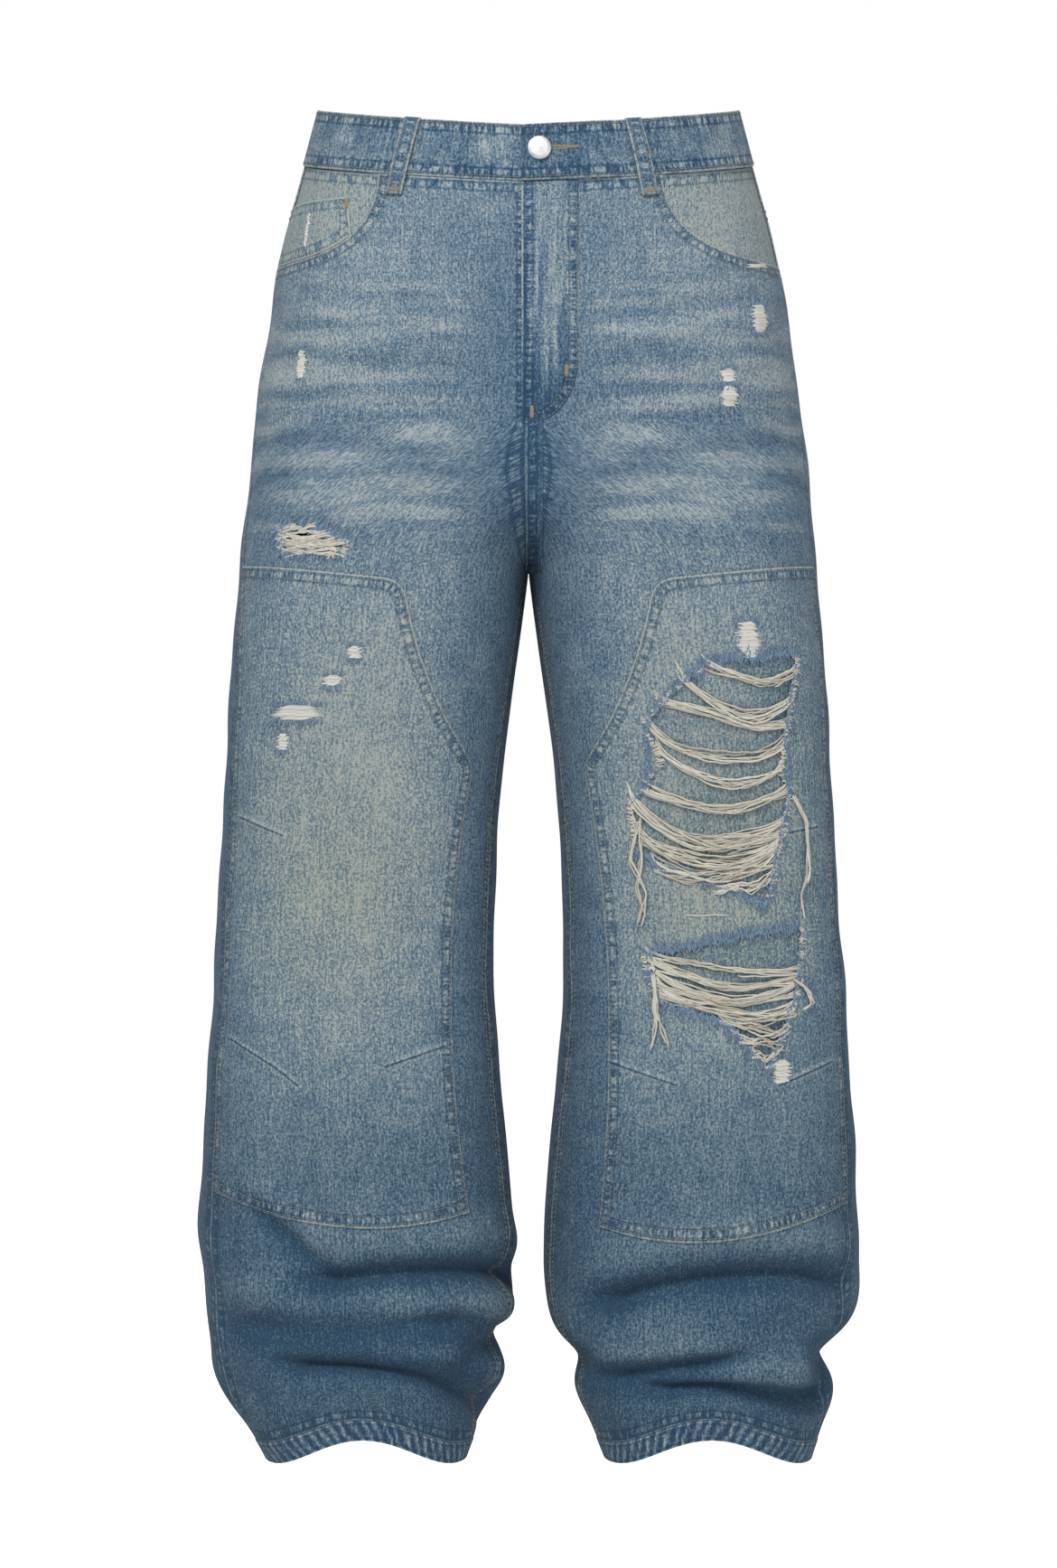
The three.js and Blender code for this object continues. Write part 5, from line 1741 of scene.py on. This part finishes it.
class JEANS_OT_hems(JeansPiece, bpy.types.Operator):
    """Turn up the hems, with their twisted ridges"""
    bl_idname = "jeans.hems"
    bl_label = "Hems"

    def execute(self, context):
        for half in HALVES:
            node = f"hem_{half.name}"
            turns = np.linspace(0, 360, 241)[:-1]
            place = lambda turn, drop, out, half=half: half.cloth(
                turn + 0 * drop, drop + 0 * turn, out - 0.6 + 0 * turn)
            look = lambda turn, drop, run: (0.34 + 0 * run, 0.2 + 0 * run)
            piece, length = strip(node + "_cloth", place, (HEM - HEM_HEIGHT, HEM), turns, HEM_CLOTH,
                                  denim("Hem denim", 0.0, 0.6, roping=True), look, ends=False)
            settle(piece, node)
        return {"FINISHED"}


class JEANS_OT_stitches(JeansPiece, bpy.types.Operator):
    """Run the topstitching along the seams, and the bar tacks"""
    bl_idname = "jeans.stitches"
    bl_label = "Stitches"

    def execute(self, context):
        STITCH["pitch"] = sizes().stitch_pitch / MM
        paths = []
        for place, line, ring in stitched_lines():
            paths += stitch_paths(place, line, ring)
        self.thread("panel_stitches", paths, seam_thread())
        paths = []
        fly = FlyPanel(LEFT, fly_loop())
        for distance in (1.5, 6.6):
            curved = fly_curve()
            sign = 1 if inset(curved, 1.0, ring=False)[3, 0] < curved[3, 0] else -1
            paths += stitch_paths(fly.place, inset(curved, sign * distance, ring=False))
        self.thread("fly_stitches", paths, seam_thread())
        self.thread("band_stitches", self.band_rows(), seam_thread())
        rows = []
        for name in JEANS_OT_loops.names:
            place = loop_place(name)
            length = BAND + LOOP["foot"]
            for x in (-LOOP["width"] / 2 + 2.3, LOOP["width"] / 2 - 2.3):
                rows += stitch_paths(lambda flat, out, place=place: place(flat, out),
                                     np.array([(x, 1.5), (x, length - 2.0)]))
        self.thread("loop_stitches", rows, seam_thread())
        self.thread("bar_tacks", self.tacks(), tack_thread())
        return {"FINISHED"}

    def thread(self, name, paths, material):
        piece = yarn_object(name, paths, [STITCH["radius"]] * len(paths), material, sides=4)
        settle(piece, None)

    def band_rows(self):
        start, end = band_ends()
        degrees = np.linspace(start - 0.8, end, 700)
        place = lambda flat, out: band_place(
            flat[:, 0], flat[:, 1], BAND_CLOTH / 2 + lap_rise(flat[:, 0]) + out)
        paths = []
        for drop in (2.4, BAND - 2.4):
            points = place(np.stack([degrees, np.full(len(degrees), drop)], axis=1), np.zeros(len(degrees)))
            lengths = np.concatenate([[0], np.cumsum(np.linalg.norm(np.diff(points, axis=0), axis=1))])
            starts = np.arange(0, lengths[-1] - STITCH["length"], STITCH["pitch"])
            at = (starts[:, None] + STITCH["length"] * np.array([0, 0.5, 1.0])).ravel()
            flat = np.stack([np.interp(at, lengths, degrees), np.full(len(at), drop)], axis=1)
            out = np.tile([-0.05, 0.18, -0.05], len(starts))
            paths += list(place(flat, out).reshape(len(starts), 3, 3))
        return paths

    def tacks(self):
        """Dense bars of thread at the loops' feet, the coin pocket's corner and the fly."""
        paths = []
        for name in JEANS_OT_loops.names:
            place = loop_place(name)
            for row in np.arange(0, 2.4, 0.45):
                y = BAND + LOOP["foot"] - 4.5 + row
                line = np.stack([np.linspace(-5, 5, 6), np.full(6, y)], axis=1)
                paths.append(place(line, np.array([0, 0.25, 0.25, 0.25, 0.25, 0])))
        coin = panel("coin_pocket")
        corner = RIGHT.flat(*RIGHT.find([COIN["side"] - 0.5], [TOP - COIN["top"] - 5]))[0]
        for row in np.arange(0, 2.2, 0.4):
            line = np.stack([np.full(5, corner[0] - 2.4 + row), corner[1] + np.linspace(-4, 4, 5)], axis=1)
            paths.append(coin.place(line, np.array([0, 0.3, 0.3, 0.3, 0])))
        fly = FlyPanel(LEFT, fly_loop())
        for x, drop in ((26, 200), (1.5, 232)):
            for row in np.arange(0, 2.2, 0.4):
                line = np.stack([np.full(5, x + row), drop + np.linspace(-5, 5, 5)], axis=1)
                paths.append(fly.place(line, np.array([0, 0.25, 0.25, 0.25, 0])))
        start = float(LEFT.angle_at(np.array([16.5]), np.array([18.5]))[0])
        stop = float(LEFT.angle_at(np.array([35.5]), np.array([18.0]))[0])
        for row in (-1.5, -1.1, -0.7, 0.7, 1.1, 1.5):
            turns = np.linspace(start, stop, 12)
            squeeze = np.linspace(1, 0.25, 12)
            out = BAND_CLOTH / 2 + lap_rise(turns) + 0.25
            paths.append(band_place(turns, 18.3 + row * squeeze, out))
        return paths


class JEANS_OT_rips(JeansPiece, bpy.types.Operator):
    """Leave the yarns across the torn holes, and fray their edges"""
    bl_idname = "jeans.rips"
    bl_label = "Rips and fringes"

    def execute(self, context):
        radius = sizes().yarn_radius / MM
        knee, thigh = panel("knee_panel_left"), panel("front_right")
        torn = {"knee_rip_yarns": (knee, knee.holes[0], KNEE_ROPES),
                "lower_knee_rip_yarns": (knee, knee.holes[1], LOWER_ROPES),
                "thigh_rip_yarns": (thigh, thigh.holes[0], THIGH_ROPES)}
        frays = []
        for seed, (name, (sheet, loop, ropes)) in enumerate(torn.items(), 21):
            paths = roped_yarns(sheet, loop, ropes, seed)
            rough = random.Random(seed + 50)
            paths += frayed_sides(sheet, loop, seed + 30)
            self.lay(name, paths, [radius * rough.uniform(0.75, 1.3) for _ in paths], cream_yarn())
            for upper in (True, False):
                frays += fringe_along(sheet, edge_of(loop, upper), seed + 10, down=not upper, step=0.5)
                frays += fringe_along(sheet, edge_of(loop, upper), seed + 20, down=upper, length=(1.5, 6.0))
        spots = []
        for node, places in SPOTS.items():
            for i, (x, drop, width, height) in enumerate(places):
                sheet = panel(node)
                middle = sheet.half.flat(*sheet.half.find([x], [TOP - drop]))[0]
                spots += laid_yarns(sheet, middle[0], middle[1], width, height, 71 + i)
                if height > 6:
                    edge = np.array([(-0.5 * width, 0), (0.5 * width, 0)]) + middle
                    frays += fringe_along(
                        sheet, edge - [0, height / 2], 81 + i, down=False, length=(1.5, 5.0))
                    frays += fringe_along(sheet, edge + [0, height / 2], 91 + i, down=True, length=(1.5, 5.0))
        self.lay("worn_spot_yarns", spots, [radius] * len(spots), white_yarn())
        self.lay("frayed_edges", frays, [0.42] * len(frays), blue_yarn(), sides=4)
        self.lay("hanging_yarns", *self.hanging(knee), cream_yarn())
        for node in ON_SHEET:
            declare(node, panel(node))
        return {"FINISHED"}

    def hanging(self, knee):
        rough = random.Random(5)
        paths, radii = [], []
        for points in HANGING:
            line = resample(seen(LEFT, points), 2.5)
            t = np.linspace(0, 1, len(line))
            for _ in range(4):
                sway = rough.uniform(-1.6, 1.6) * t
                sway = sway + 0.9 * np.sin(rough.uniform(8, 15) * t + rough.uniform(0, 6))
                stop = max(4, int(len(line) * rough.uniform(0.6, 1.0)))
                path = (line + np.stack([sway, 0 * t], axis=1))[:stop]
                out = 0.7 + 2.0 * np.sin(np.pi * t[:stop]) + rough.uniform(0, 1.2)
                paths.append(knee.place(path, out))
                radii.append(rough.uniform(0.5, 0.75))
        return paths, radii

    def lay(self, name, paths, radii, material, sides=5):
        settle(yarn_object(name, paths, radii, material, sides), None)


class JEANS_OT_button(JeansPiece, bpy.types.Operator):
    """Finish the shank button's metal"""
    bl_idname = "jeans.button"
    bl_label = "Button"

    def execute(self, context):
        node = bpy.data.objects["button"]
        node.data.materials.clear()
        node.data.materials.append(button_material())
        node.data.polygons.foreach_set("use_smooth", np.full(len(node.data.polygons), True))
        return {"FINISHED"}


# Soft lamps: name, place, size and power, in metres and watts.
LAMPS = (
    ("key", (-0.9, -3.0, 2.3), 1.8, 96),
    ("fill", (2.2, -3.0, -0.3), 2.0, 16),
    ("top", (0.2, 0.3, 2.4), 1.6, 18),
)
VIEW_HEIGHT = 1.1538  # how much of the middle plane the camera's frame covers, in metres
VIEW_MIDDLE = 0.496  # how far below the top the camera looks, in metres
SENSOR = 36  # millimetres
FLOOR_BELOW = 0.16  # how far the floor lies below the hems, in metres


class JEANS_OT_stage(JeansPiece, bpy.types.Operator):
    """Set out the pale floor, the soft lights and the camera"""
    bl_idname = "jeans.stage"
    bl_label = "Studio"

    def execute(self, context):
        scene = context.scene
        low = CAD_BOX[0]
        distance = sizes().camera_distance
        middle = TOP * MM - VIEW_MIDDLE
        camera = bpy.data.objects.new("camera", bpy.data.cameras.new("camera"))
        camera.location = (0, -distance, middle)
        camera.rotation_euler = (math.pi / 2, 0, 0)
        camera.data.sensor_fit = "VERTICAL"
        camera.data.sensor_height = SENSOR
        camera.data.lens = SENSOR * distance / VIEW_HEIGHT
        scene.collection.objects.link(camera)
        scene.camera = camera
        ground = low[2] - FLOOR_BELOW
        corners = [(-6, -5, ground), (6, -5, ground), (6, 7, ground), (-6, 7, ground)]
        mesh = bpy.data.meshes.new("floor")
        mesh.from_pydata(corners, [], [(0, 1, 2, 3)])
        floor = bpy.data.objects.new("floor", mesh)
        mesh.materials.append(self.floor_material(scene.jeans_colours.floor))
        scene.collection.objects.link(floor)
        floor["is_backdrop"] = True
        world = bpy.data.worlds.new("Studio")
        world.use_nodes = True
        n = Nodes(world.node_tree)
        background = world.node_tree.nodes["Background"]
        background.inputs["Color"].default_value = (1, 1, 1, 1)
        seen_by_camera = n.add("ShaderNodeLightPath").outputs["Is Camera Ray"]
        n.join(n.between(seen_by_camera, 0.0, 1.0, 0.40, 1.0), background.inputs["Strength"])
        scene.world = world
        scene.view_settings.view_transform = "Standard"
        for name, place, size, power in LAMPS:
            lamp = bpy.data.objects.new(name, bpy.data.lights.new(name, "AREA"))
            lamp.data.size, lamp.data.energy = size, power
            lamp.location = place
            aim = np.array([0, 0, middle]) - np.array(place)
            tilt = math.acos(-aim[2] / np.linalg.norm(aim))
            lamp.rotation_euler = (tilt, 0, math.atan2(aim[1], aim[0]) - math.pi / 2)
            scene.collection.objects.link(lamp)
        return {"FINISHED"}

    def floor_material(self, colour):
        """A pale floor that a lens sees as bright as the studio behind it."""
        pale = bpy.data.materials.new("Studio floor")
        pale.use_nodes = True
        n = Nodes(pale.node_tree)
        shader = pale.node_tree.nodes["Principled BSDF"]
        shader.inputs["Base Color"].default_value = (*colour, 1)
        shader.inputs["Roughness"].default_value = 0.9
        shader.inputs["Emission Color"].default_value = (1, 1, 1, 1)
        direct = n.add("ShaderNodeLightPath").outputs["Is Camera Ray"]
        n.join(n.math("MULTIPLY", direct, 0.8), shader.inputs["Emission Strength"])
        return pale


OPERATORS = (JEANS_OT_stage, JEANS_OT_panels, JEANS_OT_knees, JEANS_OT_band, JEANS_OT_fly, JEANS_OT_loops,
             JEANS_OT_hems, JEANS_OT_stitches, JEANS_OT_rips, JEANS_OT_button)


class JEANS_PT_sidebar(bpy.types.Panel):
    """Lists the steps of making the jeans, and the sizes and colours to change"""
    bl_label = "Jeans"
    bl_idname = "JEANS_PT_sidebar"
    bl_space_type = "VIEW_3D"
    bl_region_type = "UI"
    bl_category = "Jeans"

    def draw(self, context):
        for operator in OPERATORS:
            self.layout.operator(operator.bl_idname)
        for group_name in ("jeans_sizes", "jeans_colours"):
            settings = getattr(context.scene, group_name)
            for name in settings.__annotations__:
                self.layout.prop(settings, name)


CLASSES = (JeansSizes, JeansColours, *OPERATORS, JEANS_PT_sidebar)


def register():
    for item in CLASSES:
        bpy.utils.register_class(item)
    bpy.types.Scene.jeans_sizes = bpy.props.PointerProperty(type=JeansSizes)
    bpy.types.Scene.jeans_colours = bpy.props.PointerProperty(type=JeansColours)


def unregister():
    del bpy.types.Scene.jeans_sizes
    del bpy.types.Scene.jeans_colours
    for item in reversed(CLASSES):
        bpy.utils.unregister_class(item)


def main():
    register()
    for operator in OPERATORS:
        area, verb = operator.bl_idname.split(".")
        getattr(getattr(bpy.ops, area), verb)()
    plain = [[list(corner) for corner in box] for box in (CAD_BOX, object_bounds())]


if __name__ == "__main__":
    main()
